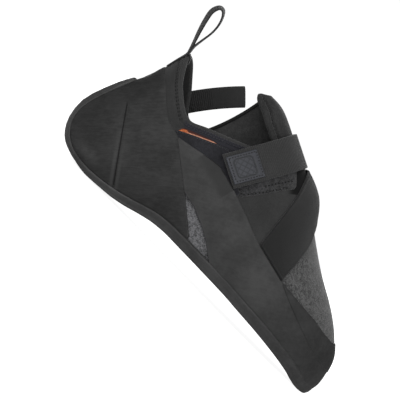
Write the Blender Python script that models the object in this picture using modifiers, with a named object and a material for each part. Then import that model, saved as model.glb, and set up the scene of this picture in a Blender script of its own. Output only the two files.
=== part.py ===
"""Climbing shoe for the right foot: hollow upper, outsole, rands, tongue, straps and pull loops.

Sizes are millimetres until the meshes are written in metres. +X runs to the toe, +Y to the medial
side, +Z up, and the floor is Z = 0. One function, wall(), gives the upper's outer surface, and the
rands, bands and the outsole's raised edge are laid on it at an offset.
"""

import bmesh
import bpy
import numpy as np

MM = 0.001
SEAT_GAP = 0.3
OVERLAY_GAP = 0.6

SOLE_THICKNESS = 4.0
SOLE_EDGE_RADIUS = 1.2
SOLE_LIP_THICKNESS = 2.2
HEEL_STRIP_TOP = 70.5
INSOLE_THICKNESS = 2.2
INSOLE_MARGIN = 3.0
INSOLE_LIFT = 0.8
UPPER_WALL = 2.0
RAND_THICKNESS = 1.7
BAND_THICKNESS = 1.0
PAD_THICKNESS = 0.9
LOWER_STRAP_THICKNESS = 1.5
STRAP_WIDTH = 25.0
STRAP_THICKNESS = 2.0
PATCH_THICKNESS = 0.9
TONGUE_THICKNESS = 3.0
LOOP_THICKNESS = 1.5
HEEL_LOOP_WIDTH = 11.0
SIDE_LOOP_WIDTH = 15.0

CUFF_FOOT = 0.94
WALL_STEPS = 12
SOLE_LANES = 6

# Rows of the wall around the shoe, from the heel's back along the lateral side, the toe and the
# medial side. The foot is on the sole line, the top on the collar or on the instep's ridge.
WALL_COLUMNS = ("turn", "foot_x", "foot_y", "top_x", "top_y", "top_z", "flare", "rise", "reach", "drop")
WALL_ROWS = {
    "heel_back": (180, -12, 0, -4.2, 0, 107.2, 41, 10.5, 6.4, 46),
    "heel_corner": (222, -5, -15, -0.6, -12.5, 100.2, 26, 10, 8, 44),
    "heel_side": (258, 12, -24, 8.6, -19.5, 88.7, 13, 11, 10, 36),
    "ankle": (268, 36, -26.5, 26.5, -24, 77, 8, 13, 9, 27),
    "quarter": (270, 62, -29, 43, -26.5, 82.5, 7, 15, 9, 28),
    "throat": (270, 87, -34, 72, -25, 94.5, 6, 17, 10, 24),
    "eyestay": (270, 100, -36.5, 92, -18, 104.5, 6, 18, 16, 17),
    "instep": (271, 113, -39.5, 104, 0, 111.5, 5, 20, 25, 4),
    "vamp": (272, 131, -42, 123, 2.5, 99.5, 5, 20, 28, 3),
    "ball": (276, 149, -42, 145, 6, 82, 5, 18, 30, 2),
    "joint": (284, 169, -35.5, 166, 10, 69, 5, 16, 27, 2),
    "toe_side": (300, 188.5, -22, 185, 14, 58, 6, 14, 20, 2),
    "toe_corner": (326, 205, -2, 197.5, 17, 49.6, 6.5, 10, 13, 4),
    "toe_tip": (362, 214.8, 20, 204.2, 20, 43.6, 6.2, 8.7, 9, 8),
    "inner_toe_corner": (398, 209, 36, 197.5, 17, 49.6, 6, 10, 12, 4),
    "inner_toe_side": (426, 192.5, 43.5, 185, 14, 58, 5, 14, 19, 2),
    "inner_joint": (444, 170, 45, 166, 10, 69, 5, 17, 24, 2),
    "inner_ball": (450, 149, 42.5, 145, 6, 82, 5, 19, 26, 2),
    "inner_vamp": (452, 130, 37, 123, 2.5, 99.5, 6, 22, 26, 3),
    "inner_instep": (452, 110, 31.5, 104, 0, 111.5, 7, 24, 25, 4),
    "inner_eyestay": (452, 98, 28.5, 92, 18, 105, 8, 23, 15, 17),
    "inner_throat": (451, 86, 26.5, 72, 24.5, 96, 8, 22, 10, 24),
    "inner_quarter": (450, 62, 24.5, 43, 25.5, 84, 9, 18, 9, 28),
    "inner_ankle": (452, 37, 24.5, 23.5, 23.5, 79, 9, 14, 9, 28),
    "inner_heel_side": (462, 12, 23.5, 12.3, 19, 92, 13, 11, 10, 38),
    "inner_heel_corner": (498, -5, 14.5, 0.6, 12.5, 104.6, 26, 10, 8, 46),
}
ROW_NAMES = list(WALL_ROWS)
ROW_COUNT = len(ROW_NAMES)
THROAT_ROW = ROW_NAMES.index("instep")
TOE_ROW = ROW_NAMES.index("toe_tip")

# Bottom of the outsole seen from the side: flat at the heel, arch, flat under the toe.
SOLE_COLUMNS = ("x", "z")
SOLE_ROWS = (
    (-30, 12.5),
    (-20, 5.2),
    (-12, 2.2),
    (-5, 0),
    (15, 0),
    (26, 1.0),
    (40, 3.6),
    (50, 6.7),
    (62, 9.7),
    (75, 10.7),
    (120, 10.4),
    (145, 9.3),
    (170, 7.3),
    (188, 5.2),
    (198, 2.5),
    (206, 0),
    (222, 0),
)

# Outsole's raised edge by distance in rows from the heel's back: its height above the wall's foot,
# and the share by which it reaches up to the top of the heel strip.
SOLE_LIP_COLUMNS = ("row", "height", "share")
SOLE_LIP_ROWS = (
    (0, 2.4, 1.0),
    (0.18, 2.4, 0.985),
    (0.3, 2.4, 0.9),
    (0.4, 2.4, 0.62),
    (0.5, 2.4, 0.3),
    (0.62, 2.4, 0.1),
    (0.8, 2.4, 0.02),
    (1.1, 2.4, 0.0),
    (2, 2.6, 0.0),
    (3.2, 4.0, 0.0),
    (6, 4.2, 0.0),
    (13, 4.2, 0.0),
)

# Sections along one side: close together where the heel strip ends and where the rands meet, then
# two to a row.
HEEL_PLACES = (0, 0.14, 0.24, 0.32, 0.39, 0.46, 0.53, 0.61, 0.72, 0.86, 1.0, 1.22, 1.5)
REAR_PLACES = HEEL_PLACES + (2.0, 2.5, 3.0, 3.3, 3.6)
STATIONS_PER_ROW = 2

# Edges of the overlays seen from the side, as x and z.
EDGE_COLUMNS = ("x", "z")
HEEL_RAND_TOP = (
    (-24, 99.5),
    (-9.6, 92),
    (0.4, 83.4),
    (10.6, 74),
    (18, 68.6),
    (25, 65.4),
    (30, 63.4),
    (34, 61.2),
    (62, 40.6),
    (88, 20),
    (100, 8),
)
TOE_RAND_BOTTOM = (
    (20, 73),
    (35, 62.2),
    (62.9, 41.6),
    (73.7, 39.2),
    (85, 34.6),
    (96.3, 28.8),
    (104, 23.4),
    (109, 19.6),
    (122, 4),
)
TOE_RAND_TOP = (
    (15, 62),
    (30, 64.2),
    (42, 66.6),
    (54, 69.2),
    (66, 71),
    (83, 67),
    (125, 52),
    (151, 45.6),
    (168, 43.6),
    (187, 42.2),
    (206, 37.8),
    (230, 32),
)
TRIM_TOP = ((15, 62.6), (29.6, 68), (39.2, 72.3), (50, 75.8), (57, 78.4), (66, 82), (80, 84))
INNER_RAND_BOTTOM = ((20, 77), (35.4, 65), (62.9, 42.2), (80, 33), (96, 22), (110, 8))
INNER_RAND_TOP = ((15, 64), (42, 63), (70, 60), (110, 52), (151, 47), (187, 42.6), (206, 37.8), (230, 32))

# Landing pad under the closure strap, seen from the side.
PAD_BOTTOM = ((60, 74.5), (83, 69), (91, 66.4), (115, 97), (120, 104))
PAD_TOP = ((60, 82), (72, 87), (92, 98), (107, 105.5), (113, 99), (120, 92))

# Tongue sections from its base under the vamp to its rear edge: the ridge, the lateral edge and
# the foot of the medial wing.
TONGUE_COLUMNS = ("ridge_x", "ridge_z", "edge_x", "edge_y", "edge_z", "wing_x", "wing_y", "wing_z")
TONGUE_ROWS = (
    (113, 101.2, 110, -10.5, 93.8, 105, 12.5, 93),
    (103, 106.2, 98, -11.5, 97, 93, 15.8, 87.5),
    (91, 116.4, 85, -15.2, 104.5, 79, 21, 82),
    (75, 124.8, 68, -15, 112.5, 58, 22, 77),
    (56.5, 128.4, 50.5, -10.5, 122.5, 40, 21.5, 77),
)
TONGUE_LENGTH_STEPS = 10
TONGUE_WIDTH_STEPS = 7

# Lower strap over the forefoot by its place across the vamp, from -1 at the lateral sole line over
# 0 at the ridge to 1 at the medial sole line: rear edge and front edge in rows from the heel's back.
LOWER_STRAP_COLUMNS = ("across", "rear", "front")
LOWER_STRAP_ROWS = (
    (-0.66, 7.72, 9.12),
    (-0.3, 7.66, 9.06),
    (0.0, 7.42, 8.96),
    (0.25, 7.0, 8.5),
    (0.5, 6.8, 8.2),
)
LOWER_STRAP_LIFT = 4.6
LOWER_STRAP_LENGTH_STEPS = 22
LOWER_STRAP_WIDTH_STEPS = 6

# Closure strap sections from its lateral end over the instep to its medial end: the middle of the
# strap's underside and the lean of its width seen from the side.
STRAP_COLUMNS = ("x", "y", "z", "lean")
STRAP_ROWS = (
    (72.2, -36.8, 72.6, -26),
    (78.5, -34.4, 83.8, -26),
    (85.0, -29.2, 95.2, -26),
    (90.4, -22.0, 104.8, -26),
    (94.6, -12.4, 112.4, -26),
    (96.8, -1.0, 116.2, -26),
    (95.4, 10.5, 113.6, -26),
    (91.4, 20.5, 106.0, -26),
    (86.0, 28.0, 95.4, -26),
    (80.6, 32.0, 84.0, -26),
    (76.6, 33.6, 73.6, -26),
)
STRAP_LENGTH_STEPS = 30
PATCH_LENGTH_STEPS = (0.3, 4.7)

# Heel pull loop, middle line of the tape seen from the side.
HEEL_LOOP_ROWS = (
    (-9.8, 94),
    (-7.2, 105.4),
    (-6.8, 111.2),
    (-8.4, 118),
    (-10.8, 125),
    (-13.2, 133),
    (-14.6, 140.6),
    (-12.8, 146),
    (-9.4, 146.6),
    (-6.4, 143),
    (-4.4, 137),
    (-3.8, 130),
    (-4.4, 121),
    (-4.4, 114.4),
    (0, 108.4),
    (-0.1, 100),
)

# Side pull loop: its foot on the medial wall, and its folded tape along its own length and out
# from the wall.
SIDE_LOOP_FOOT = (12.2, 28.0, 73.6)
SIDE_LOOP_RISE_DEG = 54.0
SIDE_LOOP_ROWS = (
    (0, 0.6),
    (8, 0.4),
    (18, -0.6),
    (36, -1.6),
    (49, -0.6),
    (51.5, 1.4),
    (49, 3.4),
    (36, 4.2),
    (18, 4.0),
    (6, 3.6),
    (1, 3.0),
)

COLOURS = {
    "outsole": (0.045, 0.045, 0.047),
    "insole": (0.09, 0.09, 0.095),
    "upper": (0.11, 0.11, 0.112),
    "tongue": (0.05, 0.052, 0.058),
    "heel_rand": (0.028, 0.028, 0.029),
    "toe_rand": (0.055, 0.055, 0.057),
    "collar_band": (0.06, 0.06, 0.064),
    "quarter_trim": (0.03, 0.032, 0.045),
    "strap_pad": (0.035, 0.036, 0.04),
    "lower_strap": (0.03, 0.03, 0.032),
    "closure_strap": (0.05, 0.05, 0.05),
    "strap_patch": (0.1, 0.105, 0.12),
    "heel_loop": (0.04, 0.041, 0.046),
    "side_loop": (0.05, 0.05, 0.053),
}


def smooth_line(x, rows):
    """Height at x on a smooth line through the rows that never overshoots a row."""
    knots, heights = np.array(rows, float).T
    steps = np.diff(knots)
    slopes = np.diff(heights) / steps
    before, after = slopes[:-1], slopes[1:]
    same_way = before * after > 0
    safe = np.where(same_way, before * after, 1.0)
    inner = np.where(same_way, 2 * safe / np.where(same_way, before + after, 1.0), 0.0)
    tangents = np.concatenate([slopes[:1], inner, slopes[-1:]])
    x = np.clip(x, knots[0], knots[-1])
    cell = np.clip(np.searchsorted(knots, x, side="right") - 1, 0, len(steps) - 1)
    t = (x - knots[cell]) / steps[cell]
    bend = (2 * t**3 - 3 * t**2 + 1) * heights[cell] + (3 * t**2 - 2 * t**3) * heights[cell + 1]
    lean = (t**3 - 2 * t**2 + t) * tangents[cell] + (t**3 - t**2) * tangents[cell + 1]
    return bend + steps[cell] * lean


def rounded_path(rows, count):
    """Points spread along a smooth open curve through the rows."""
    rows = np.array(rows, float)
    padded = np.vstack([2 * rows[0] - rows[1], rows, 2 * rows[-1] - rows[-2]])
    places = np.linspace(0, len(rows) - 1, count)
    cell = np.minimum(places.astype(int), len(rows) - 2)
    return catmull(padded, cell, places - cell)


def catmull(padded, cell, t):
    """Catmull-Rom blend of four neighbouring rows, with one extra row before the first."""
    t = t[:, None]
    a, b, c, d = (padded[cell + k] for k in range(4))
    return 0.5 * (2 * b + (c - a) * t + (2 * a - 5 * b + 4 * c - d) * t**2 + (3 * b - a - 3 * c + d) * t**3)


def sole_bottom(x):
    """Height of the outsole's underside."""
    return smooth_line(np.asarray(x, float), SOLE_ROWS)


def wall_rows(places):
    """Wall sizes at places around the shoe; place 0 is the heel's back and 13 the toe's tip."""
    rows = np.array(list(WALL_ROWS.values()), float)
    lap = np.zeros(len(WALL_COLUMNS))
    lap[0] = 360
    padded = np.vstack([rows[-2:] - lap, rows, rows[:3] + lap])
    places = np.mod(places, ROW_COUNT)
    cell = places.astype(int)
    return dict(zip(WALL_COLUMNS, catmull(padded, cell + 1, places - cell).T))


def bare_wall(places, climbs):
    """Wall points: each section is a cubic curve from the sole line to the collar or ridge."""
    near = wall_rows(places)
    far = wall_rows(ROW_COUNT - places)
    folded = np.mod(places, ROW_COUNT)
    ridge = (folded >= THROAT_ROW) & (folded <= ROW_COUNT - THROAT_ROW)
    top = np.stack([near["top_x"], near["top_y"], near["top_z"]], -1)
    other = np.stack([far["top_x"], far["top_y"], far["top_z"]], -1)
    top = np.where(ridge[..., None], (top + other) / 2, top)
    foot_z = sole_bottom(near["foot_x"]) + SOLE_THICKNESS + SEAT_GAP
    foot = np.stack([near["foot_x"], near["foot_y"], foot_z], -1)
    turn = np.radians(near["turn"])
    out = np.stack([np.cos(turn), np.sin(turn), np.zeros_like(turn)], -1)
    up = np.array([0.0, 0.0, 1.0])
    low = foot + near["flare"][:, None] * out + near["rise"][:, None] * up
    high = top + near["reach"][:, None] * out - near["drop"][:, None] * up
    w = climbs[..., None]
    rest = 1 - w
    return rest**3 * foot + 3 * rest**2 * w * low + 3 * rest * w**2 * high + w**3 * top


def wall_normal(places, climbs):
    """Outward direction of the wall, shared by both sides along the ridge."""
    step = 0.01
    climbs = np.clip(climbs, 0, 1 - step)
    across = bare_wall(places + step, climbs) - bare_wall(places - step, climbs)
    upward = bare_wall(places, climbs + step) - bare_wall(places, climbs - step)
    normal = np.cross(across, upward)
    return normal / np.linalg.norm(normal, axis=-1, keepdims=True)


def wall(places, climbs, offset=0.0):
    """Points of the wall's surface moved out by the offset."""
    places, climbs = np.broadcast_arrays(np.asarray(places, float), np.asarray(climbs, float))
    shape = places.shape
    places, climbs = places.ravel(), climbs.ravel()
    normal = wall_normal(places, climbs)
    twin = wall_normal(ROW_COUNT - places, climbs)
    folded = np.mod(places, ROW_COUNT)
    shared = (climbs > 0.999) & (folded >= THROAT_ROW) & (folded <= ROW_COUNT - THROAT_ROW)
    normal = np.where(shared[:, None], normal + twin, normal)
    normal /= np.linalg.norm(normal, axis=-1, keepdims=True)
    moved = bare_wall(places, climbs) + np.ravel(np.broadcast_to(offset, shape))[:, None] * normal
    return moved.reshape(shape + (3,))


def climb_to_edge(places, edge):
    """How far up each section meets an edge drawn in the side view."""
    samples = np.linspace(0, 1, 241)
    grid_places, grid_climbs = np.meshgrid(places, samples, indexing="ij")
    points = bare_wall(grid_places.ravel(), grid_climbs.ravel()).reshape(len(places), len(samples), 3)
    edge_x, edge_z = np.array(edge, float).T
    above = points[..., 2] - np.interp(points[..., 0], edge_x, edge_z)
    past = above >= 0
    first = np.where(past.any(1), past.argmax(1), len(samples) - 1)
    last = np.maximum(first - 1, 0)
    rows = np.arange(len(places))
    low, high = above[rows, last], above[rows, first]
    span = np.where(high - low > 1e-9, high - low, 1.0)
    share = np.clip(-low / span, 0, 1)
    return np.where(first == 0, 0.0, samples[last] + share * (samples[first] - samples[last]))


def climb_to_height(places, heights):
    """How far up each section reaches a height."""
    samples = np.linspace(0, 1, 241)
    found = []
    for place, height in zip(places, heights):
        points = bare_wall(np.full(len(samples), place), samples)
        found.append(np.interp(height, points[:, 2], samples))
    return np.array(found)


def lip_climb(places):
    """Top of the outsole's raised edge, which rises into the heel strip behind the heel."""
    folded = np.mod(places, ROW_COUNT)
    away = np.minimum(folded, ROW_COUNT - folded)
    table = np.array(SOLE_LIP_ROWS, float)
    share = smooth_line(away, table[:, [0, 2]])
    foot_z = bare_wall(places, np.zeros(len(places)))[:, 2]
    lip_z = foot_z + smooth_line(away, table[:, :2])
    return climb_to_height(places, lip_z + share * (HEEL_STRIP_TOP - lip_z))


def material(name):
    """Plain material in the piece's own colour."""
    made = bpy.data.materials.new(name)
    made.use_nodes = True
    shader = made.node_tree.nodes["Principled BSDF"]
    shader.inputs["Base Color"].default_value = (*COLOURS[name], 1.0)
    shader.inputs["Roughness"].default_value = 0.7
    return made


def add_object(name, points, faces, thickness=0.0, side=1.0):
    """Object from points in millimetres; a thickness turns an open sheet into a solid."""
    mesh = bpy.data.meshes.new(name)
    mesh.from_pydata((np.asarray(points) * MM).tolist(), [], faces)
    shape = bmesh.new()
    shape.from_mesh(mesh)
    bmesh.ops.remove_doubles(shape, verts=shape.verts, dist=0.00002)
    bmesh.ops.dissolve_degenerate(shape, edges=shape.edges, dist=0.00001)
    if thickness == 0.0:
        bmesh.ops.recalc_face_normals(shape, faces=shape.faces)
    shape.to_mesh(mesh)
    shape.free()
    mesh.materials.append(material(name))
    made = bpy.data.objects.new(name, mesh)
    shoe.objects.link(made)
    if thickness:
        solid = made.modifiers.new("thickness", "SOLIDIFY")
        solid.thickness = thickness * MM
        solid.offset = side
        solid.use_even_offset = True
    return made


def grid_faces(rows, columns, closed_rows=False):
    """Quads of a grid of points in row order; closed rows join the last row to the first."""
    faces = []
    for row in range(rows if closed_rows else rows - 1):
        following = (row + 1) % rows
        for column in range(columns - 1):
            here = row * columns + column
            there = following * columns + column
            faces.append((here, there, there + 1, here + 1))
    return faces


def add_sheet(name, points, thickness, side=1.0, closed_rows=False):
    """Solid sheet from a grid of points."""
    rows, columns = points.shape[:2]
    return add_object(name, points.reshape(-1, 3), grid_faces(rows, columns, closed_rows), thickness, side)


def add_overlay(name, places, low, high, thickness):
    """Sheet laid on the wall between two heights of each section, with the upper's own levels between."""
    levels = np.linspace(0, 1, WALL_STEPS + 1)[None, :]
    middle = (low + high)[:, None] / 2
    beside = np.abs(levels - middle) > (high - low)[:, None] / 2 - 0.012
    climbs = np.clip(np.where(beside, np.where(levels < middle, 0, 1), levels), low[:, None], high[:, None])
    points = wall(np.broadcast_to(places[:, None], climbs.shape), climbs, OVERLAY_GAP)
    return add_sheet(name, points, thickness)


def lanes_between(edge, height):
    """Grid across the sole from each lateral point to its medial twin, at the given heights."""
    half = len(edge) // 2
    lateral = edge[: half + 1]
    medial = np.vstack([edge[:1], edge[: half - 1 : -1]])
    share = np.linspace(0, 1, SOLE_LANES + 1)[None, :, None]
    grid = lateral[:, None] * (1 - share) + medial[:, None] * share
    if height is not None:
        grid[:, 1:-1, 2] = height(grid[:, 1:-1, 0])
    return grid


def add_plate(name, rings, bottom, top):
    """Solid from rings stacked around the shoe, closed by a bottom and a top grid across it."""
    stack = np.stack(rings, 1)
    count, levels = stack.shape[:2]
    points = [stack.reshape(-1, 3)]
    faces = grid_faces(count, levels, closed_rows=True)
    start = count * levels
    for grid in (lanes_between(rings[0], bottom), lanes_between(rings[-1], top)):
        rows, columns = grid.shape[:2]
        faces += [tuple(start + k for k in face) for face in grid_faces(rows, columns)]
        points.append(grid.reshape(-1, 3))
        start += rows * columns
    return add_object(name, np.vstack(points), faces)


def all_places():
    """Places of the upper's sections, once around from the heel's back."""
    side = np.arange(4 * STATIONS_PER_ROW, TOE_ROW * STATIONS_PER_ROW + 1) / STATIONS_PER_ROW
    lateral = np.concatenate([REAR_PLACES, side])
    return np.concatenate([lateral, ROW_COUNT - lateral[-2:0:-1]])


def place_range(first, last):
    """The upper's own sections from one place to another; a negative place is on the medial side."""
    once = all_places()
    places = np.concatenate([once - ROW_COUNT, once])
    return places[(places >= first - 0.01) & (places <= last + 0.01)]


def build_upper():
    """Hollow shell: the wall from the sole line to the collar and the ridge."""
    places = all_places()
    climbs = np.linspace(0, 1, WALL_STEPS + 1)
    grid_places, grid_climbs = np.meshgrid(places, climbs, indexing="ij")
    add_sheet("upper", wall(grid_places, grid_climbs), UPPER_WALL, -1.0, closed_rows=True)


def build_outsole():
    """Rubber plate with a raised edge that follows the wall and a strip behind the heel."""
    places = all_places()
    lip = lip_climb(places)
    outer, inner = OVERLAY_GAP + SOLE_LIP_THICKNESS, OVERLAY_GAP
    levels = np.linspace(0, 1, WALL_STEPS + 1)
    climbs = [np.where(level > lip - 0.012, lip, level) for level in levels]
    side = [wall(places, climb, outer) for climb in climbs]
    back = [wall(places, climb, inner) for climb in climbs[::-1]]
    edge = side[0].copy()
    edge[:, 2] = np.minimum(sole_bottom(edge[:, 0]) + SOLE_EDGE_RADIUS, edge[:, 2] - 0.4)
    foot = bare_wall(places, np.zeros(len(places)))
    outward = edge - foot
    outward[:, 2] = 0
    outward /= np.linalg.norm(outward, axis=1, keepdims=True)
    rim = edge - SOLE_EDGE_RADIUS * outward
    rim[:, 2] = sole_bottom(rim[:, 0])
    back[-1][:, 2] = foot[:, 2] - SEAT_GAP
    rings = [rim, edge, *side, *back]
    add_plate("outsole", rings, sole_bottom, lambda x: sole_bottom(x) + SOLE_THICKNESS)


def build_insole():
    """Thin board on the outsole, inside the upper's foot."""
    places = all_places()
    foot = bare_wall(places, np.zeros(len(places)))
    turn = np.radians(wall_rows(places)["turn"])
    out = np.stack([np.cos(turn), np.sin(turn), np.zeros_like(turn)], -1)
    edge = foot - INSOLE_MARGIN * out
    floor = SOLE_THICKNESS + INSOLE_LIFT
    low, high = edge.copy(), edge.copy()
    low[:, 2] = sole_bottom(edge[:, 0]) + floor
    high[:, 2] = low[:, 2] + INSOLE_THICKNESS
    add_plate(
        "insole",
        [low, high],
        lambda x: sole_bottom(x) + floor,
        lambda x: sole_bottom(x) + floor + INSOLE_THICKNESS,
    )


def build_rands():
    """Heel rand and toe rand, seated above the outsole's raised edge."""
    clear = 0.012
    beside = 0.045
    places = place_range(-5, 5)
    low = np.maximum(lip_climb(places - beside), lip_climb(places + beside)) + clear
    high = np.maximum(climb_to_edge(places, HEEL_RAND_TOP), low)
    add_overlay("heel_rand", places, low, high, RAND_THICKNESS)
    places = place_range(3, ROW_COUNT - 3)
    lateral = places <= TOE_ROW
    outer_foot, outer_head = (climb_to_edge(places, edge) for edge in (TOE_RAND_BOTTOM, TOE_RAND_TOP))
    inner_foot, inner_head = (climb_to_edge(places, edge) for edge in (INNER_RAND_BOTTOM, INNER_RAND_TOP))
    foot = np.where(lateral, outer_foot, inner_foot)
    head = np.where(lateral, outer_head, inner_head)
    low = np.maximum(foot, lip_climb(places) + clear)
    wide = head > low + 0.01
    first, last = wide.argmax(), len(wide) - wide[::-1].argmax()
    kept = slice(first, last)
    add_overlay("toe_rand", places[kept], low[kept], head[kept], RAND_THICKNESS)


def build_bands():
    """Collar cuff around the opening and the trim below it on the lateral side."""
    clear = 0.02
    places = place_range(-6, 6)
    rand = climb_to_edge(places, HEEL_RAND_TOP)
    low = np.where(np.abs(places) > 2.5, CUFF_FOOT, rand + clear)
    high = np.full(len(places), 0.985)
    add_overlay("collar_band", places, low, high, BAND_THICKNESS)
    places = place_range(3.4, 5)
    low = climb_to_edge(places, TOE_RAND_TOP) + clear
    high = np.minimum(climb_to_edge(places, TRIM_TOP), CUFF_FOOT - clear)
    add_overlay("quarter_trim", places, low, high, BAND_THICKNESS)


def build_pad():
    """Thin pad on the lateral wall under the closure strap."""
    places = place_range(5.3, 7.4)
    low = np.maximum(climb_to_edge(places, PAD_BOTTOM), climb_to_edge(places, TOE_RAND_TOP) + 0.02)
    roof = np.where(places <= 6.1, CUFF_FOOT - 0.02, 0.97)
    high = np.maximum(np.minimum(climb_to_edge(places, PAD_TOP), roof), low)
    wide = high > low + 0.01
    add_overlay("strap_pad", places[wide], low[wide], high[wide], PAD_THICKNESS)


def build_tongue():
    """Padded sheet whose sections run from the lateral edge over the ridge to the medial wing."""
    rows = rounded_path(TONGUE_ROWS, TONGUE_LENGTH_STEPS + 1)
    ridge = np.stack([rows[:, 0], np.zeros(len(rows)), rows[:, 1]], -1)
    edge, wing = rows[:, 2:5], rows[:, 5:8]
    along = np.array([1.0, 0.0, 1.0])
    sideways = np.array([0.0, 1.0, 0.0])
    lateral = (edge, edge + 0.45 * (ridge - edge) * along, ridge + 0.5 * (edge - ridge) * sideways, ridge)
    medial = (ridge, ridge + 0.5 * (wing - ridge) * sideways, wing + 0.4 * (ridge - wing) * along, wing)
    columns = []
    for corners, shares in (
        (lateral, np.linspace(0, 1, TONGUE_WIDTH_STEPS)),
        (medial, np.linspace(0, 1, 2 * TONGUE_WIDTH_STEPS)[1:]),
    ):
        a, b, c, d = corners
        for t in shares:
            columns.append((1 - t) ** 3 * a + 3 * (1 - t) ** 2 * t * b + 3 * (1 - t) * t**2 * c + t**3 * d)
    add_sheet("tongue", np.stack(columns, 1), TONGUE_THICKNESS)


def vamp_point(row, across, offset):
    """Point of the vamp by its row from the heel and its place across it, moved out by the offset."""
    lateral = across <= 0
    places = np.where(lateral, row, ROW_COUNT - row)
    return wall(places, np.minimum(1 - np.abs(across), 0.9995), offset)


def build_lower_strap():
    """Elastic band over the forefoot that stands off the ridge."""
    table = np.array(LOWER_STRAP_ROWS, float)
    across = np.linspace(table[0, 0], table[-1, 0], LOWER_STRAP_LENGTH_STEPS + 1)
    rear = smooth_line(across, table[:, :2])
    front = smooth_line(across, table[:, [0, 2]])
    share = np.linspace(0, 1, LOWER_STRAP_WIDTH_STEPS + 1)
    row = rear[:, None] + (front - rear)[:, None] * share
    grid_across = np.repeat(across[:, None], len(share), 1)
    foot = climb_to_edge(row[0], TOE_RAND_TOP) + 0.012 - 1
    settle = np.clip((grid_across + 0.3) / (across[0] + 0.3), 0, 1)
    grid_across = grid_across + settle * (foot - across[0])
    bridge = np.exp(-((grid_across / 0.22) ** 2)) * np.sin(np.pi * (0.13 + 0.87 * share))
    points = vamp_point(row, grid_across, OVERLAY_GAP + LOWER_STRAP_LIFT * bridge)
    add_sheet("lower_strap", points[:, ::-1], LOWER_STRAP_THICKNESS)


def strap_point(along, across, offset):
    """Point of the closure strap by its step along, its place across its width, and its offset."""
    rows = rounded_path(STRAP_ROWS, STRAP_LENGTH_STEPS + 1)
    middle = rows[:, :3]
    lean = np.radians(rows[:, 3])
    width = np.stack([np.cos(lean), np.zeros_like(lean), np.sin(lean)], -1)
    out = np.cross(np.gradient(middle, axis=0), width)
    out /= np.linalg.norm(out, axis=1, keepdims=True)
    steps = np.arange(STRAP_LENGTH_STEPS + 1)
    middle, width, out = (
        np.stack([np.interp(along, steps, part[:, k]) for k in range(3)], -1)
        for part in (middle, width, out)
    )
    return middle[:, None] + across[None, :, None] * width[:, None] - offset * out[:, None]


def build_straps():
    """Closure strap and the patch sewn on its end."""
    across = np.linspace(-0.5, 0.5, 5) * STRAP_WIDTH
    strap = strap_point(np.arange(STRAP_LENGTH_STEPS + 1), across, 0.0)
    add_sheet("closure_strap", strap, STRAP_THICKNESS, -1.0)
    first, last = PATCH_LENGTH_STEPS
    across = np.linspace(-0.47, 0.47, 5) * STRAP_WIDTH
    patch = strap_point(np.linspace(first, last, 7), across, STRAP_THICKNESS + SEAT_GAP)
    add_sheet("strap_patch", patch, PATCH_THICKNESS, -1.0)


def build_heel_loop():
    """Tape loop at the back of the collar, sewn outside and inside the cuff."""
    path = rounded_path(HEEL_LOOP_ROWS, 40)
    sides = np.linspace(-0.5, 0.5, 2) * HEEL_LOOP_WIDTH
    points = np.stack([np.stack([path[:, 0], np.full(len(path), y), path[:, 1]], -1) for y in sides], 1)
    add_sheet("heel_loop", points, LOOP_THICKNESS, 0.0)


def build_side_loop():
    """Flat folded tape on the outside of the medial collar."""
    path = rounded_path(SIDE_LOOP_ROWS, 34)
    rise = np.radians(SIDE_LOOP_RISE_DEG)
    length = np.array([np.cos(rise), 0, np.sin(rise)])
    width = np.array([-np.sin(rise), 0, np.cos(rise)])
    middle = np.array(SIDE_LOOP_FOOT) + path[:, :1] * length + path[:, 1:] * np.array([0.0, 1.0, 0.0])
    sides = np.linspace(-0.5, 0.5, 2) * SIDE_LOOP_WIDTH
    add_sheet("side_loop", middle[:, None] + sides[None, :, None] * width, LOOP_THICKNESS, 0.0)


def clear_scene():
    """Start from nothing, with one collection for the shoe."""
    for old in list(bpy.data.objects):
        bpy.data.objects.remove(old, do_unlink=True)
    made = bpy.data.collections.new("climbing_shoe")
    bpy.context.scene.collection.children.link(made)
    return made


shoe = clear_scene()
build_upper()
build_outsole()
build_insole()
build_rands()
build_bands()
build_pad()
build_tongue()
build_lower_strap()
build_straps()
build_heel_loop()
build_side_loop()
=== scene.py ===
"""Looks of a climbing shoe for the right foot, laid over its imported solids.

Sizes are millimetres until a mesh is written in metres. +X runs to the toe, +Y to the medial side and
+Z up. wall() gives the upper's outer surface, and rands, panels, bands and seams are laid on it.
"""

import bmesh
import bpy
import numpy as np
from mathutils import Matrix, Vector


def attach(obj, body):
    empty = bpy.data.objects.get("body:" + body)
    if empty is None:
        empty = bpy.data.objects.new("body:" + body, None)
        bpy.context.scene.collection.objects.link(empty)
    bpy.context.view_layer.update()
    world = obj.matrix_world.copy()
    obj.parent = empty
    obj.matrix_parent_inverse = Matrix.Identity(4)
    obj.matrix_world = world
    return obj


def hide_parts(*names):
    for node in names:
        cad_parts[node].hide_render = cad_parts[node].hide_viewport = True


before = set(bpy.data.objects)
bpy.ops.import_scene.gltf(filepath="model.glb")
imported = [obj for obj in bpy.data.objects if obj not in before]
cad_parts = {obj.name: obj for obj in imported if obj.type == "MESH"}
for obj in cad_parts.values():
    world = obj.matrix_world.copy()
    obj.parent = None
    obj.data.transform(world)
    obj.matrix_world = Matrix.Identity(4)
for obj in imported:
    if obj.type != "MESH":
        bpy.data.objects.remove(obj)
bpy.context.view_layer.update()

MM = 0.001

# Thicknesses and offsets from the wall.
SKIN_BASE = 0.05
UPPER_WALL = 2.0
RAND_LIFT = 2.15
TOE_PATCH_LIFT = 0.4
CUFF_LIFT = 1.45
ROLL_HALF_SIZES = (1.55, 1.7)
TRIM_LIFT = 1.4
CHANNEL_BASE = 0.35
CHANNEL_LIFT = 0.5
PANEL_BASE = 0.15
PANEL_LIFT = 0.45
PAD_BASE = 0.4
PAD_LIFT = 1.1

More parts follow.
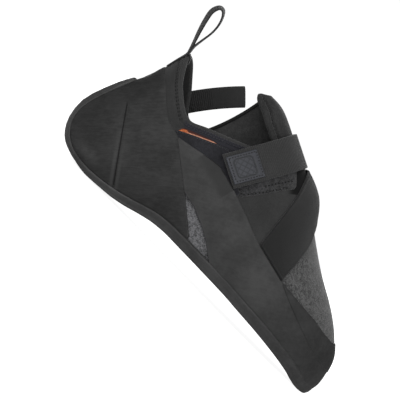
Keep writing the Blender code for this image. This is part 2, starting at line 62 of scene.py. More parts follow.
# Climbs, as shares of the way up the wall: the cuff's foot, and the top of the orange channel.
CUFF_FOOT = 0.94
CHANNEL_TOP = 0.949

# Outsole and insole.
SOLE_LIFT = 2.75
SOLE_THICKNESS = 4.0
SOLE_EDGE_RADIUS = 1.2
TOE_EDGE_ROUND = 1.2
HEEL_EDGE_ROUND = 5.0
TOE_EDGE_LIFT = 3.9
LIP_RADIUS = 1.3
HEEL_STRIP_TOP = 70.5
SEAT_GAP = 0.3
INSOLE_THICKNESS = 2.2
INSOLE_MARGIN = 3.0
INSOLE_LIFT = 0.8

# Tongue: the seam's distance from the lateral edge, the rear corner's radius and the binding.
TONGUE_THICKNESS = 3.0
TONGUE_SEAM = 7.2
TONGUE_CORNER = 5.0
BINDING_HALF_SIZES = (1.5, 1.9)

# Straps and the badge.
LOWER_STRAP_BASE = 0.55
LOWER_STRAP_LIFT = 4.9
LOWER_STRAP_THICKNESS = 1.5
STRAP_WIDTH = 25.0
STRAP_THICKNESS = 2.0
STRAP_RIB_PITCH = 1.45
STRAP_SAMPLES = 601
BADGE_HALF_WIDTH = 9.9
BADGE_MIDDLE = 10.9
BADGE_THICKNESS = 0.9
BADGE_GROOVE_PITCH = 3.2

# Pull loops. Ribs that run to the end of a tape have an end beyond it.
HEEL_LOOP_WIDTH = 11.0
HEEL_TAPE_THICKNESS = 1.4
SIDE_LOOP_WIDTH = 15.0
SIDE_TAPE_THICKNESS = 1.5
SIDE_LOOP_RIBS_END = 31.0
ENDLESS = 1000.0

# Sewn rows: length of a stitch, gap to the next one and radius of the thread.
COLLAR_STITCH = (1.9, 0.7, 0.32)
CHANNEL_STITCH = (1.2, 0.9, 0.25)
PAD_STITCH = (1.5, 1.2, 0.52)
TONGUE_STITCH = (1.7, 0.5, 0.5)
BADGE_STITCH = (1.3, 0.7, 0.32)
TAPE_STITCH = (1.5, 0.5, 0.25)

# Rows of the wall around the shoe, from the heel's back along the lateral side, the toe and the
# medial side. The foot is on the sole line, the top on the collar or on the instep's ridge.
WALL_COLUMNS = ("turn", "foot_x", "foot_y", "top_x", "top_y", "top_z", "flare", "rise", "reach", "drop")
WALL_ROWS = {
    "heel_back": (180, -12, 0, -4.2, 0, 107.2, 41, 10.5, 6.4, 46),
    "heel_corner": (222, -5, -15, -0.6, -12.5, 100.2, 26, 10, 8, 44),
    "heel_side": (258, 12, -24, 8.6, -19.5, 88.7, 13, 11, 10, 36),
    "ankle": (268, 36, -26.5, 26.5, -24, 77, 8, 13, 9, 27),
    "quarter": (270, 62, -29, 43, -26.5, 82.5, 7, 15, 9, 28),
    "throat": (270, 87, -34, 72, -25, 94.5, 6, 17, 10, 24),
    "eyestay": (270, 100, -36.5, 92, -18, 104.5, 6, 18, 16, 17),
    "instep": (271, 113, -39.5, 104, 0, 111.5, 5, 20, 25, 4),
    "vamp": (272, 131, -42, 123, 2.5, 99.5, 5, 20, 28, 3),
    "ball": (276, 149, -42, 145, 6, 83.5, 5, 18, 30, 2),
    "joint": (284, 169, -35.5, 166, 10, 69, 5, 16, 27, 2),
    "toe_side": (300, 188.5, -22, 185, 14, 58, 6, 14, 20, 2),
    "toe_corner": (326, 205, -2, 197.5, 17, 49.6, 6.5, 10, 13, 4),
    "toe_tip": (362, 214.8, 20, 204.2, 20, 43.6, 6.2, 8.7, 12.2, 6.0),
    "inner_toe_corner": (398, 209, 36, 197.5, 17, 49.6, 6, 10, 12, 4),
    "inner_toe_side": (426, 192.5, 43.5, 185, 14, 58, 5, 14, 19, 2),
    "inner_joint": (444, 170, 45, 166, 10, 69, 5, 17, 24, 2),
    "inner_ball": (450, 149, 42.5, 145, 6, 83.5, 5, 19, 26, 2),
    "inner_vamp": (452, 130, 37, 123, 2.5, 99.5, 6, 22, 26, 3),
    "inner_instep": (452, 110, 31.5, 104, 0, 111.5, 7, 24, 25, 4),
    "inner_eyestay": (452, 98, 28.5, 92, 18, 105, 8, 23, 15, 17),
    "inner_throat": (451, 86, 26.5, 72, 24.5, 96, 8, 22, 10, 24),
    "inner_quarter": (450, 62, 24.5, 43, 25.5, 80.5, 9, 18, 9, 28),
    "inner_ankle": (452, 37, 24.5, 26.5, 23.5, 75.6, 9, 14, 9, 28),
    "inner_heel_side": (462, 12, 23.5, 12.3, 19, 92, 13, 11, 10, 38),
    "inner_heel_corner": (498, -5, 14.5, 0.6, 12.5, 104.6, 26, 10, 8, 46),
}
ROW_COUNT = len(WALL_ROWS)
THROAT_ROW = list(WALL_ROWS).index("instep")
TOE_ROW = list(WALL_ROWS).index("toe_tip")

# Spans of the overlays in rows, from the heel's back along the lateral side, and back where below 0.
HEEL_RAND_SPAN = (-4.95, 4.95)
TOE_RAND_SPAN = (3.1, ROW_COUNT - 3.1)
TOE_PATCH_SPAN = (9.0, ROW_COUNT - 9.0)
CUFF_SPAN = (-6.0, 6.0)
ROLL_SPAN = (-7.0, 7.0)
TRIM_SPAN = (2.8, 5.6)
CHANNEL_SPAN = (2.95, 4.5)
PANEL_SPAN = (2.3, 8.5)
INNER_PANEL_SPAN = (ROW_COUNT - 8.3, ROW_COUNT - 2.3)
PAD_SPAN = (5.2, 7.5)

# Reach of the heel's fuller foot and of the strip's crown around the heel's back, in rows.
HEEL_REACH = 1.4
CROWN_REACH = 0.14

# Bottom of the outsole seen from the side, as x and z.
SOLE_ROWS = (
    (-30, 12.0), (-20, 5.0), (-14.5, 3.1), (-9.5, 1.85), (-4.4, 0.9), (0.5, 0.25), (5, 0), (10, 0.25),
    (14, 0.5), (18, 0.85), (26, 1.7), (33, 3.0), (40, 4.75), (50, 7.9), (62, 10.9), (75, 12.0), (100, 12.0),
    (120, 11.9), (130, 11.7), (145, 10.8), (160, 9.8), (170, 8.8), (180, 7.5), (188, 6.2), (198, 4.0),
    (205, 1.7), (210, 0.4), (214, 0), (222, 0.5),
)

# Outsole's raised edge by distance in rows from the heel's back: its height above the wall's foot,
# and the share by which it reaches up to the top of the heel strip.
SOLE_LIP_ROWS = (
    (0, 2.4, 1.0), (0.08, 2.4, 0.985), (0.14, 2.4, 0.9), (0.18, 2.4, 0.75), (0.21, 2.4, 0.55),
    (0.25, 2.4, 0.37), (0.35, 2.4, 0.2), (0.46, 2.4, 0.11), (0.58, 2.4, 0.045), (0.78, 2.4, 0.01),
    (1.1, 2.4, 0.0), (2, 2.6, 0.0), (3.2, 4.0, 0.0), (6, 4.2, 0.0), (13, 4.2, 0.0),
)

# Extra thickness behind the heel by height: of the outsole's foot, and of the strip's rounded crown.
HEEL_FOOT_ROWS = ((0, 1.5), (7, 1.5), (9.4, 1.4), (11.9, 0.8), (14.5, 0.25), (17, 0), (100, 0))
HEEL_CROWN_ROWS = (
    (0, 0), (18, 0), (24, 0.35), (30, 1.4), (36, 2.2), (45, 2.45), (60, 2.5), (64, 2.1), (68, 1.5), (72, 0.9),
)

# Edges of the overlays seen from the side, as x and z.
HEEL_RAND_TOP = (
    (-24, 99.5), (-9.6, 92), (0.4, 83.4), (10.6, 74), (18, 68.6), (25, 66.2), (30, 65.2), (36, 63),
    (50, 51.8), (60, 43.6), (62.8, 40.9), (88, 20.4), (100, 8),
)
TOE_RAND_BOTTOM = (
    (20, 72.2), (34.6, 61.4), (62.6, 40.9), (73.7, 38.9), (85, 34.3), (96.3, 28.5), (104, 23.1),
    (109, 19.3), (122, 4),
)
TOE_RAND_TOP = (
    (15, 62), (30, 64.2), (42, 66.6), (54, 69.2), (66, 71), (83, 67), (125, 52), (151, 45.6),
    (168, 43.6), (187, 42.4), (197.5, 40.6), (206, 39.5), (210, 40.2), (230, 41),
)
TOE_PATCH_BOTTOM = ((140, 52), (152, 44.5), (165, 38.5), (178, 33.5), (196, 27), (214, 22), (230, 19))
TRIM_TOP = (
    (15, 62.4), (24, 65.4), (29.6, 68.4), (33, 70.3), (40.9, 74.3), (47.6, 77.4), (53.7, 80.2),
    (60, 82.8), (80, 88),
)
CHANNEL_EDGE = (
    (20, 66), (26, 69.4), (29.6, 71.2), (33, 72.8), (40.9, 76.1), (47.6, 78.7), (53.7, 81.1),
    (58, 82.6), (64, 85),
)
INNER_RAND_BOTTOM = ((20, 77), (35.4, 65), (62.9, 42.2), (80, 33), (96, 22), (110, 8))
INNER_RAND_TOP = (
    (15, 64), (42, 63), (70, 60), (110, 52), (151, 47), (187, 42.6), (197.5, 40.6), (206, 39.5), (210, 40.2),
    (230, 41),
)
PAD_BOTTOM = ((60, 74.5), (83, 69), (91, 66.4), (113.6, 97.4), (119, 104))
PAD_TOP = ((60, 82), (72, 87), (92, 98), (105.4, 104.6), (111.4, 98.4), (119, 91))

# Tongue sections from its base under the vamp to its rear edge: ridge x and z, lateral edge x, y and
# z, and the foot of the medial wing.
TONGUE_ROWS = (
    (113, 101.2, 110, -10.5, 93.8, 105, 12.5, 93),
    (103, 106.2, 98, -11.5, 97, 93, 15.8, 87.5),
    (91, 117.4, 85, -15.2, 104.5, 79, 21, 82),
    (75, 125.8, 68, -15, 112.5, 58, 22, 77),
    (64.5, 129.0, 58.6, -13.4, 117.4, 49, 21.9, 77),
    (53, 129, 48.4, -11.2, 121.2, 40, 21.5, 77),
)

# Lower strap by its place across the vamp: rear edge and front edge in rows from the heel's back.
LOWER_STRAP_ROWS = (
    (-0.66, 7.72, 9.12), (-0.3, 7.66, 9.04), (0.0, 7.32, 8.66), (0.25, 7.0, 8.4), (0.5, 6.8, 8.2),
)

# Closure strap: middle of the strap's underside, and the lean of its width seen from the side.
STRAP_ROWS = (
    (72.2, -36.8, 72.6, -26), (78.5, -34.4, 83.8, -26), (85.0, -29.2, 95.2, -26),
    (90.4, -22.0, 104.8, -26), (94.6, -12.4, 112.4, -26), (96.8, -1.0, 116.2, -26),
    (95.4, 10.5, 113.6, -26), (91.4, 20.5, 106.0, -26), (86.0, 28.0, 95.4, -26),
    (80.6, 32.0, 84.0, -26), (76.6, 33.6, 73.6, -26),
)

# Pull loops: middle line of the tape, seen from the side for the heel, and along and out for the side.
HEEL_LOOP_ROWS = (
    (-9.2, 92.2), (-7.4, 100.4), (-5.7, 107.2), (-6.0, 110.6), (-8.2, 117.6), (-10.8, 125), (-13.2, 133),
    (-14.6, 140.6), (-12.8, 146), (-9.4, 146.6), (-6.4, 143), (-4.4, 137), (-3.9, 130), (-4.9, 122),
    (-5.7, 115.4), (-5.4, 111.4), (-4.9, 109.2), (-3.0, 108.4), (-1.0, 105.8), (-0.6, 99),
)
SIDE_LOOP_FOOT = (12.2, 28.0, 73.6)
SIDE_LOOP_RISE_DEG = (60.0, 46.0)
SIDE_LOOP_LENGTH = 51.5
SIDE_LOOP_ROWS = (
    (0, 0.6), (8, 0.4), (18, -0.6), (36, -1.6), (49, -0.6), (51.5, 1.4), (49, 3.4), (36, 4.2),
    (18, 4.0), (6, 3.6), (1, 3.0),
)

# Dart in the heel rand, seen from the side.
DART_TOP = (-10.9, 57.0)
DART_FOOT = (24.3, 9.1)

# Camera: the photograph's tilt, height, aim and width of view.
CAMERA_ROLL_DEG = 45.65
CAMERA_RISE_DEG = 2.5
CAMERA_AIM = (72.7, 0.0, 43.8)
CAMERA_SPAN = 276.0
CAMERA_LENS = 700.0
SENSOR_WIDTH = 36.0

# Half the floor's side, in metres.
FLOOR_HALF = 6.0


# Curves and the wall.


def unit(arrows):
    """Each vector divided by its length."""
    return arrows / np.linalg.norm(arrows, axis=-1, keepdims=True)


def hump(value, middle, width):
    """Bell curve of height 1 around a middle."""
    return np.exp(-(((value - middle) / width) ** 2))


def facing(turn):
    """Level direction at a turn in degrees."""
    turn = np.radians(turn)
    return np.stack([np.cos(turn), np.sin(turn), np.zeros_like(turn)], -1)


def cubic(t, a, b, c, d):
    """Point at t on the cubic curve from a to d that b and c pull."""
    rest = 1 - t
    return rest**3 * a + 3 * rest**2 * t * b + 3 * rest * t**2 * c + t**3 * d


def smooth_line(x, rows):
    """Height at x on a monotone cubic line through the rows, so it never overshoots a row."""
    knots, heights = np.array(rows, float).T
    steps = np.diff(knots)
    slopes = np.diff(heights) / steps
    before, after = slopes[:-1], slopes[1:]
    same_way = before * after > 0
    safe = np.where(same_way, before * after, 1.0)
    inner = np.where(same_way, 2 * safe / np.where(same_way, before + after, 1.0), 0.0)
    tangents = np.concatenate([slopes[:1], inner, slopes[-1:]])
    x = np.clip(x, knots[0], knots[-1])
    cell = np.clip(np.searchsorted(knots, x, side="right") - 1, 0, len(steps) - 1)
    t = (x - knots[cell]) / steps[cell]
    bend = (2 * t**3 - 3 * t**2 + 1) * heights[cell] + (3 * t**2 - 2 * t**3) * heights[cell + 1]
    lean = (t**3 - 2 * t**2 + t) * tangents[cell] + (t**3 - t**2) * tangents[cell + 1]
    return bend + steps[cell] * lean


def catmull(padded, cell, t):
    """Catmull-Rom blend of four neighbouring rows, with one extra row before the first."""
    t = t[:, None]
    a, b, c, d = (padded[cell + k] for k in range(4))
    return 0.5 * (2 * b + (c - a) * t + (2 * a - 5 * b + 4 * c - d) * t**2 + (3 * b - a - 3 * c + d) * t**3)


def rounded_path(rows, count):
    """Points along a smooth open curve through the rows, as many between each two rows."""
    rows = np.array(rows, float)
    padded = np.vstack([2 * rows[0] - rows[1], rows, 2 * rows[-1] - rows[-2]])
    places = np.linspace(0, len(rows) - 1, count)
    cell = np.minimum(places.astype(int), len(rows) - 2)
    return catmull(padded, cell, places - cell)


def sole_bottom(x):
    """Height of the outsole's underside."""
    return smooth_line(np.asarray(x, float), SOLE_ROWS)


def sole_face(points):
    """Height of the outsole's underside at points, which rises a little towards the heel's sides."""
    x, y = points[..., 0], points[..., 1]
    return sole_bottom(x) + 0.7 * np.clip((60 - x) / 40, 0, 1) * (y / 26) ** 2


def wall_rows(places):
    """Wall sizes at places around the shoe; place 0 is the heel's back and 13 the toe's tip."""
    rows = np.array(list(WALL_ROWS.values()), float)
    lap = np.zeros(len(WALL_COLUMNS))
    lap[0] = 360
    padded = np.vstack([rows[-2:] - lap, rows, rows[:3] + lap])
    places = np.mod(places, ROW_COUNT)
    cell = np.minimum(places.astype(int), ROW_COUNT - 1)
    return dict(zip(WALL_COLUMNS, catmull(padded, cell + 1, places - cell).T))


def rows_from_heel(places):
    """Distance of each place from the heel's back, in rows, on either side of the shoe."""
    folded = np.mod(places, ROW_COUNT)
    return np.minimum(folded, ROW_COUNT - folded)


def bare_wall(places, climbs):
    """Wall points: each section is a cubic curve from the sole line to the collar or ridge."""
    near = wall_rows(places)
    far = wall_rows(ROW_COUNT - places)
    ridge = rows_from_heel(places) >= THROAT_ROW
    top = np.stack([near["top_x"], near["top_y"], near["top_z"]], -1)
    other = np.stack([far["top_x"], far["top_y"], far["top_z"]], -1)
    top = np.where(ridge[..., None], (top + other) / 2, top)
    foot_z = sole_bottom(near["foot_x"]) + SOLE_THICKNESS + SEAT_GAP
    foot = np.stack([near["foot_x"], near["foot_y"], foot_z], -1)
    out = facing(near["turn"])
    up = np.array([0.0, 0.0, 1.0])
    low = foot + near["flare"][:, None] * out + near["rise"][:, None] * up
    high = top + near["reach"][:, None] * out - near["drop"][:, None] * up
    return cubic(climbs[..., None], foot, low, high, top)


def wall_normal(places, climbs):
    """Outward direction of the wall, from central differences."""
    step = 0.01
    climbs = np.clip(climbs, 0, 1 - step)
    across = bare_wall(places + step, climbs) - bare_wall(places - step, climbs)
    upward = bare_wall(places, climbs + step) - bare_wall(places, climbs - step)
    return unit(np.cross(across, upward))


def wall(places, climbs, offset=0.0):
    """Points of the wall's surface moved out by the offset; the two sides share a normal at the ridge."""
    places, climbs = np.broadcast_arrays(np.asarray(places, float), np.asarray(climbs, float))
    shape = places.shape
    places, climbs = places.ravel(), climbs.ravel()
    normal = wall_normal(places, climbs)
    twin = wall_normal(ROW_COUNT - places, climbs)
    shared = rows_from_heel(places) >= THROAT_ROW
    blend = np.where(shared, np.clip((climbs - 0.95) / 0.05, 0, 1), 0.0)[:, None]
    normal = unit(normal + blend * twin)
    moved = bare_wall(places, climbs) + np.ravel(np.broadcast_to(offset, shape))[:, None] * normal
    return moved.reshape(shape + (3,))


def first_crossing(samples, above):
    """Sample at which each row of a grid first rises through zero, shared along a straight line."""
    past = above >= 0
    first = np.where(past.any(1), past.argmax(1), above.shape[1] - 1)
    last = np.maximum(first - 1, 0)
    rows = np.arange(len(above))
    low, high = above[rows, last], above[rows, first]
    share = np.clip(-low / np.where(high - low > 1e-9, high - low, 1.0), 0, 1)
    return np.where(first == 0, samples[0], samples[last] + share * (samples[first] - samples[last]))


def sections(places, samples):
    """Wall points on a grid of places by climbs."""
    grid_places, grid_climbs = np.meshgrid(places, samples, indexing="ij")
    return bare_wall(grid_places.ravel(), grid_climbs.ravel()).reshape(len(places), len(samples), 3)


def from_start(points):
    """Distance from the first point of each row of a grid to its other points, along the row."""
    steps = np.linalg.norm(np.diff(points, axis=1), axis=2)
    return np.concatenate([np.zeros((len(points), 1)), np.cumsum(steps, 1)], 1)


def to_end(points):
    """Distance from each point of a grid to the last point of its row, along the row."""
    return from_start(points[:, ::-1])[:, ::-1]


def climb_to_edge(places, edge):
    """How far up each section meets an edge drawn in the side view."""
    samples = np.linspace(0, 1, 241)
    points = sections(places, samples)
    edge_x, edge_z = np.array(edge, float).T
    return first_crossing(samples, points[..., 2] - np.interp(points[..., 0], edge_x, edge_z))


def climb_to_height(places, heights):
    """How far up each section reaches a height."""
    samples = np.linspace(0, 1, 241)
    return first_crossing(samples, sections(places, samples)[..., 2] - np.asarray(heights)[:, None])


def climb_below_rim(places, distance):
    """Climb that lies a distance below the top of each section, measured along the section."""
    samples = np.linspace(0.4, 1, 181)
    return first_crossing(samples, distance - to_end(sections(places, samples)))


def lip_climb(places):
    """Top of the outsole's raised edge, which rises into the heel strip behind the heel."""
    away = rows_from_heel(places)
    table = np.array(SOLE_LIP_ROWS, float)
    share = smooth_line(away, table[:, [0, 2]])
    foot_z = bare_wall(places, np.zeros(len(places)))[:, 2]
    lip_z = foot_z + smooth_line(away, table[:, :2])
    return climb_to_height(places, lip_z + share * (HEEL_STRIP_TOP - lip_z))


# Grids and meshes.

EDGE_STEPS = np.array([0.0, 0.15, 0.4, 0.8, 1.4, 2.2])
END_STEPS = np.array([0.0, 0.012, 0.03, 0.06, 0.11])


def places_between(first, last, step):
    """Places along the wall at an even step, close together at both ends."""
    inner = np.linspace(first + END_STEPS[-1], last - END_STEPS[-1], max(int((last - first) / step), 3))
    return np.concatenate([first + END_STEPS[:-1], inner, last - END_STEPS[:-1][::-1]])


def edge_spread(length, count):
    """Distances along each row, close together at both ends and even between."""
    near = EDGE_STEPS * np.minimum(1.0, length / (2.6 * EDGE_STEPS[-1]))[:, None]
    inner = np.linspace(0, 1, count - 2 * len(EDGE_STEPS) + 2)[1:-1]
    start, stop = near[:, -1:], length[:, None] - near[:, -1:]
    return np.concatenate([near, start + (stop - start) * inner, length[:, None] - near[:, ::-1]], 1)


def line_spread(length, count):
    """Distances along one line, close together at both ends and even between."""
    inner = np.linspace(EDGE_STEPS[-1], length - EDGE_STEPS[-1], count)[1:-1]
    return np.concatenate([EDGE_STEPS, inner, length - EDGE_STEPS[::-1]])


def round_edge(share):
    """Quarter round: 0 at the edge, 1 from one radius inwards."""
    return np.sqrt(1 - (1 - np.clip(share, 0, 1)) ** 2)


def evened(points, reach):
    """Line of points, each moved to the mean of its neighbours within a reach."""
    count = 2 * reach + 1
    padded = np.pad(points, ((reach, reach), (0, 0)), "edge")
    return np.stack([np.convolve(padded[:, k], np.ones(count) / count, "valid") for k in range(3)], -1)


def at_distances(where, run, values):
    """Vectors given along a line, read at distances from its start."""
    return np.stack([np.interp(where, run, values[:, k]) for k in range(3)], -1)


def arc_length(points):
    """Distance along a line of points from its first point."""
    return np.concatenate([[0.0], np.cumsum(np.linalg.norm(np.diff(points, axis=0), axis=1))])


def grid_normals(points, sign):
    """Unit normals of a grid, from the cross product of its two directions."""
    normal = sign * np.cross(np.gradient(points, axis=0), np.gradient(points, axis=1))
    return normal / np.maximum(np.linalg.norm(normal, axis=-1, keepdims=True), 1e-9)


def panel(places, low, high, base, thickness, radius, rows, relief=None):
    """Sheet on the wall between two climbs of each section.

    The outer side stands off the wall by the thickness, falls to the base in a quarter round at its
    edges, and carries the relief, a height that depends on the point and its distance from the edges.
    The thickness is a number, or depends on the point and its distance along the section.
    """
    share = np.linspace(0, 1, 9)
    rough = wall(places[:, None], low[:, None] + (high - low)[:, None] * share, base)
    length = np.linalg.norm(np.diff(rough, axis=1), axis=2).sum(1)
    along = edge_spread(length, rows)
    climbs = low[:, None] + (high - low)[:, None] * along / np.maximum(length, 1e-6)[:, None]
    run = arc_length(wall(places, (low + high) / 2, base))
    inward = np.minimum(along, length[:, None] - along)
    inward = np.minimum(inward, np.minimum(run, run[-1] - run)[:, None])
    spot = np.broadcast_to(places[:, None], climbs.shape)
    inner = wall(spot, climbs, base)
    full = thickness(inner, along, length[:, None]) if callable(thickness) else thickness
    lift = full * (0.2 + 0.8 * round_edge(inward / radius))
    if relief is not None:
        lift = lift + relief(inner, along, length[:, None], inward) * np.clip(inward / radius, 0, 1)
    return {
        "outer": wall(spot, climbs, base + lift),
        "inner": inner,
        "uv": np.stack([np.broadcast_to(run[:, None], along.shape), along], -1),
        "rim": np.exp(-inward / 0.9),
    }


def widest(places, low, high, least=0.006):
    """The unbroken stretch of places where the upper edge lies above the lower edge."""
    wide = high > low + least
    kept = slice(wide.argmax(), len(wide) - wide[::-1].argmax())
    return places[kept], low[kept], np.maximum(high, low + least)[kept]


def grid_quads(rows, columns, start=0, flip=False, closed_rows=False, closed_columns=False):
    """Quads of a grid of points in row order."""
    r = np.arange(rows if closed_rows else rows - 1)[:, None]
    c = np.arange(columns if closed_columns else columns - 1)[None, :]
    down, over = (r + 1) % rows, (c + 1) % columns
    corners = [r * columns + c, down * columns + c, down * columns + over, r * columns + over]
    quads = np.stack(np.broadcast_arrays(*corners), -1).reshape(-1, 4) + start
    return quads[:, ::-1] if flip else quads


def border_quads(rows, columns, offset):
    """Quads that join a grid's border to the border of a second grid stored offset points later."""
    ring = np.concatenate([
        np.arange(columns),
        np.arange(1, rows) * columns + columns - 1,
        (rows - 1) * columns + np.arange(columns - 2, -1, -1),
        np.arange(rows - 2, 0, -1) * columns,
    ])
    following = np.roll(ring, -1)
    return np.stack([ring, following, following + offset, ring + offset], -1)


def oval_rings(path, first, second, first_reach, second_reach):
    """Rings around a path: each point lies by its two reaches along two directions at the path."""
    return (path[:, None] + first_reach[None, :, None] * first[:, None]
            + second_reach[None, :, None] * second[:, None])


def add_piece(name, points, quads, finishes, uv=None, rim=None, replaces=(), finish_of=None):
    """Object from points in millimetres and quads, riding on the shoe, with its surface map and edge mask."""
    mesh = bpy.data.meshes.new(name)
    mesh.from_pydata((points.reshape(-1, 3) * MM).tolist(), [], quads.tolist())
    for finish in finishes:
        mesh.materials.append(finish)
    if finish_of is not None:
        mesh.polygons.foreach_set("material_index", finish_of.astype(np.int32))
    if uv is not None:
        corners = np.zeros(len(mesh.loops), np.int32)
        mesh.loops.foreach_get("vertex_index", corners)
        mesh.uv_layers.new(name="surface").data.foreach_set("uv", uv.reshape(-1, 2)[corners].ravel())
    mask = np.zeros(len(mesh.vertices)) if rim is None else rim.ravel()
    mesh.attributes.new("rim", "FLOAT", "POINT").data.foreach_set("value", mask)
    shape = bmesh.new()
    shape.from_mesh(mesh)
    bmesh.ops.remove_doubles(shape, verts=shape.verts, dist=0.000004)
    bmesh.ops.dissolve_degenerate(shape, edges=shape.edges, dist=0.000002)
    bmesh.ops.recalc_face_normals(shape, faces=shape.faces)
    shape.to_mesh(mesh)
    shape.free()
    mesh.polygons.foreach_set("use_smooth", np.ones(len(mesh.polygons), bool))
    made = bpy.data.objects.new(name, mesh)
    bpy.context.scene.collection.objects.link(made)
    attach(made, "root")
    if replaces:
        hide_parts(*replaces)
    return made


def add_sheet(name, sheet, finish, replaces=(), lining=None):
    """Closed sheet from its outer grid, its inner grid and the strip round their borders."""
    rows, columns = sheet["outer"].shape[:2]
    count = rows * columns
    quads = np.vstack([
        grid_quads(rows, columns),
        grid_quads(rows, columns, count, flip=True),
        border_quads(rows, columns, count)[:, ::-1],
    ])
    points = np.concatenate([sheet["outer"].reshape(-1, 3), sheet["inner"].reshape(-1, 3)])
    uv = np.concatenate([sheet["uv"].reshape(-1, 2)] * 2)
    rim = np.concatenate([sheet["rim"].ravel()] * 2)
    if lining is None:
        return add_piece(name, points, quads, [finish], uv, rim, replaces)
    one_side = (rows - 1) * (columns - 1)
    lined = (np.arange(len(quads)) >= one_side) & (np.arange(len(quads)) < 2 * one_side)
    return add_piece(name, points, quads, [finish, lining], uv, rim, replaces, lined)


def add_tube(name, rings, finish, uv=None, replaces=()):
    """Closed tube from rings of points along a path, with each end drawn in to its middle."""
    caps = [np.repeat(rings[k].mean(0)[None], rings.shape[1], 0)[None] for k in (0, -1)]
    points = np.concatenate([caps[0], rings, caps[1]])
    if uv is not None:
        uv = np.concatenate([uv[:1], uv, uv[-1:]])
    quads = grid_quads(*points.shape[:2], closed_columns=True)
    return add_piece(name, points, quads, [finish], uv, None, replaces)


def add_stitches(name, rows, stitch, finish):
    """Sewn rows: round-ended threads laid end to end along each path, rising a little in their middle.

    A row is a path and the outward direction at its points."""
    length, gap, radius = stitch
    share = np.array([-0.5, -0.44, -0.3, 0.0, 0.3, 0.44, 0.5])
    thick = np.array([0.0, 0.65, 1.0, 1.0, 1.0, 0.65, 0.0])
    around = np.linspace(0, 2 * np.pi, 6, endpoint=False)
    pieces = []
    for path, out in rows:
        run = arc_length(path)
        middles = np.arange(length / 2, run[-1] - length / 2, length + gap)
        start, stop = (at_distances(middles + end * length / 2, run, path) for end in (-1, 1))
        way = unit(stop - start)
        up = at_distances(middles, run, out)
        up = unit(up - (up * way).sum(1, keepdims=True) * way)
        beside = np.cross(way, up)
        spin = up[:, None] * np.cos(around)[None, :, None] + beside[:, None] * np.sin(around)[None, :, None]
        core = at_distances(middles, run, path)[:, None] + way[:, None] * (share * length)[None, :, None]
        core = core + up[:, None] * (radius * 0.7 * (1 - 3.2 * share**2))[None, :, None]
        pieces.append(core[:, :, None] + spin[:, None] * (radius * thick)[None, :, None, None])
    threads = np.concatenate(pieces)
    count, rings, sides = threads.shape[:3]
    one = grid_quads(rings, sides, closed_columns=True)
    quads = (one[None] + (np.arange(count) * rings * sides)[:, None, None]).reshape(-1, 4)
    return add_piece(name, threads, quads, [finish])


# Materials.


def node(tree, kind, inputs=None, **settings):
    """Node with its settings, and its inputs linked or set."""
    made = tree.nodes.new(kind)
    for key, value in settings.items():
        setattr(made, key, value)
    for key, value in (inputs or {}).items():
        if isinstance(value, bpy.types.NodeSocket):
            tree.links.new(value, made.inputs[key])
        else:
            made.inputs[key].default_value = value
    return made


def maths(tree, operation, *values, clamp=False):
    """Value worked out from one to three values."""
    made = node(tree, "ShaderNodeMath", dict(enumerate(values)), operation=operation, use_clamp=clamp)
    return made.outputs[0]


def weighted(tree, first, first_share, second, second_share):
    """Sum of two values, each times its share."""
    shares = maths(tree, "MULTIPLY", first, first_share), maths(tree, "MULTIPLY", second, second_share)
    return maths(tree, "ADD", *shares)


def vectors(tree, operation, *values, answer="Vector"):
    """Vector, or the value, worked out from one or two vectors."""
    return node(tree, "ShaderNodeVectorMath", dict(enumerate(values)), operation=operation).outputs[answer]


def axes_of(tree, vector):
    """The three numbers of a vector."""
    return node(tree, "ShaderNodeSeparateXYZ", {0: vector}).outputs


def between(tree, value, low, high, to_low=0.0, to_high=1.0):
    """Value carried smoothly from one range to another."""
    ends = {"Value": value, "From Min": low, "From Max": high, "To Min": to_low, "To Max": to_high}
    return node(tree, "ShaderNodeMapRange", ends, interpolation_type="SMOOTHSTEP").outputs[0]


def blended(tree, share, first, second):
    """Colour between two colours."""
    made = node(tree, "ShaderNodeMix", {0: share, 6: first, 7: second}, data_type="RGBA")
    return made.outputs[2]


def tinted(tree, mask, share, colour, tint):
    """Colour that turns to a tint by a mask times a share."""
    return blended(tree, maths(tree, "MULTIPLY", mask, share, clamp=True), colour, tint)


def noise(tree, vector, scale, detail=3.0, roughness=0.6, distortion=0.0):
    """Noise value between 0 and 1."""
    settings = {"Vector": vector, "Scale": scale, "Detail": detail, "Roughness": roughness}
    settings["Distortion"] = distortion
    return node(tree, "ShaderNodeTexNoise", settings).outputs[0]


def new_group(name, inputs, outputs):
    """Empty shader group with its sockets, its input node and its output node."""
    tree = bpy.data.node_groups.new(name, "ShaderNodeTree")
    for label, kind, value in inputs:
        socket = tree.interface.new_socket(label, in_out="INPUT", socket_type=kind)
        if value is not None:
            socket.default_value = value
    for label in outputs:
        tree.interface.new_socket(label, in_out="OUTPUT", socket_type="NodeSocketFloat")
    return tree, tree.nodes.new("NodeGroupInput").outputs, tree.nodes.new("NodeGroupOutput")


VECTOR, NUMBER = "NodeSocketVector", "NodeSocketFloat"


def mottle_group():
    """Slow uneven tone: two sizes of noise added, from 0 to 1."""
    tree, given, out = new_group("mottle", [("Vector", VECTOR, None), ("Scale", NUMBER, 60.0)], ["Tone"])
    broad = noise(tree, given["Vector"], given["Scale"], detail=4.0, roughness=0.55)
    fine = noise(tree, given["Vector"], maths(tree, "MULTIPLY", given["Scale"], 7.0))
    tone = weighted(tree, broad, 0.7, fine, 0.3)
    tree.links.new(between(tree, tone, 0.3, 0.7), out.inputs["Tone"])
    return tree


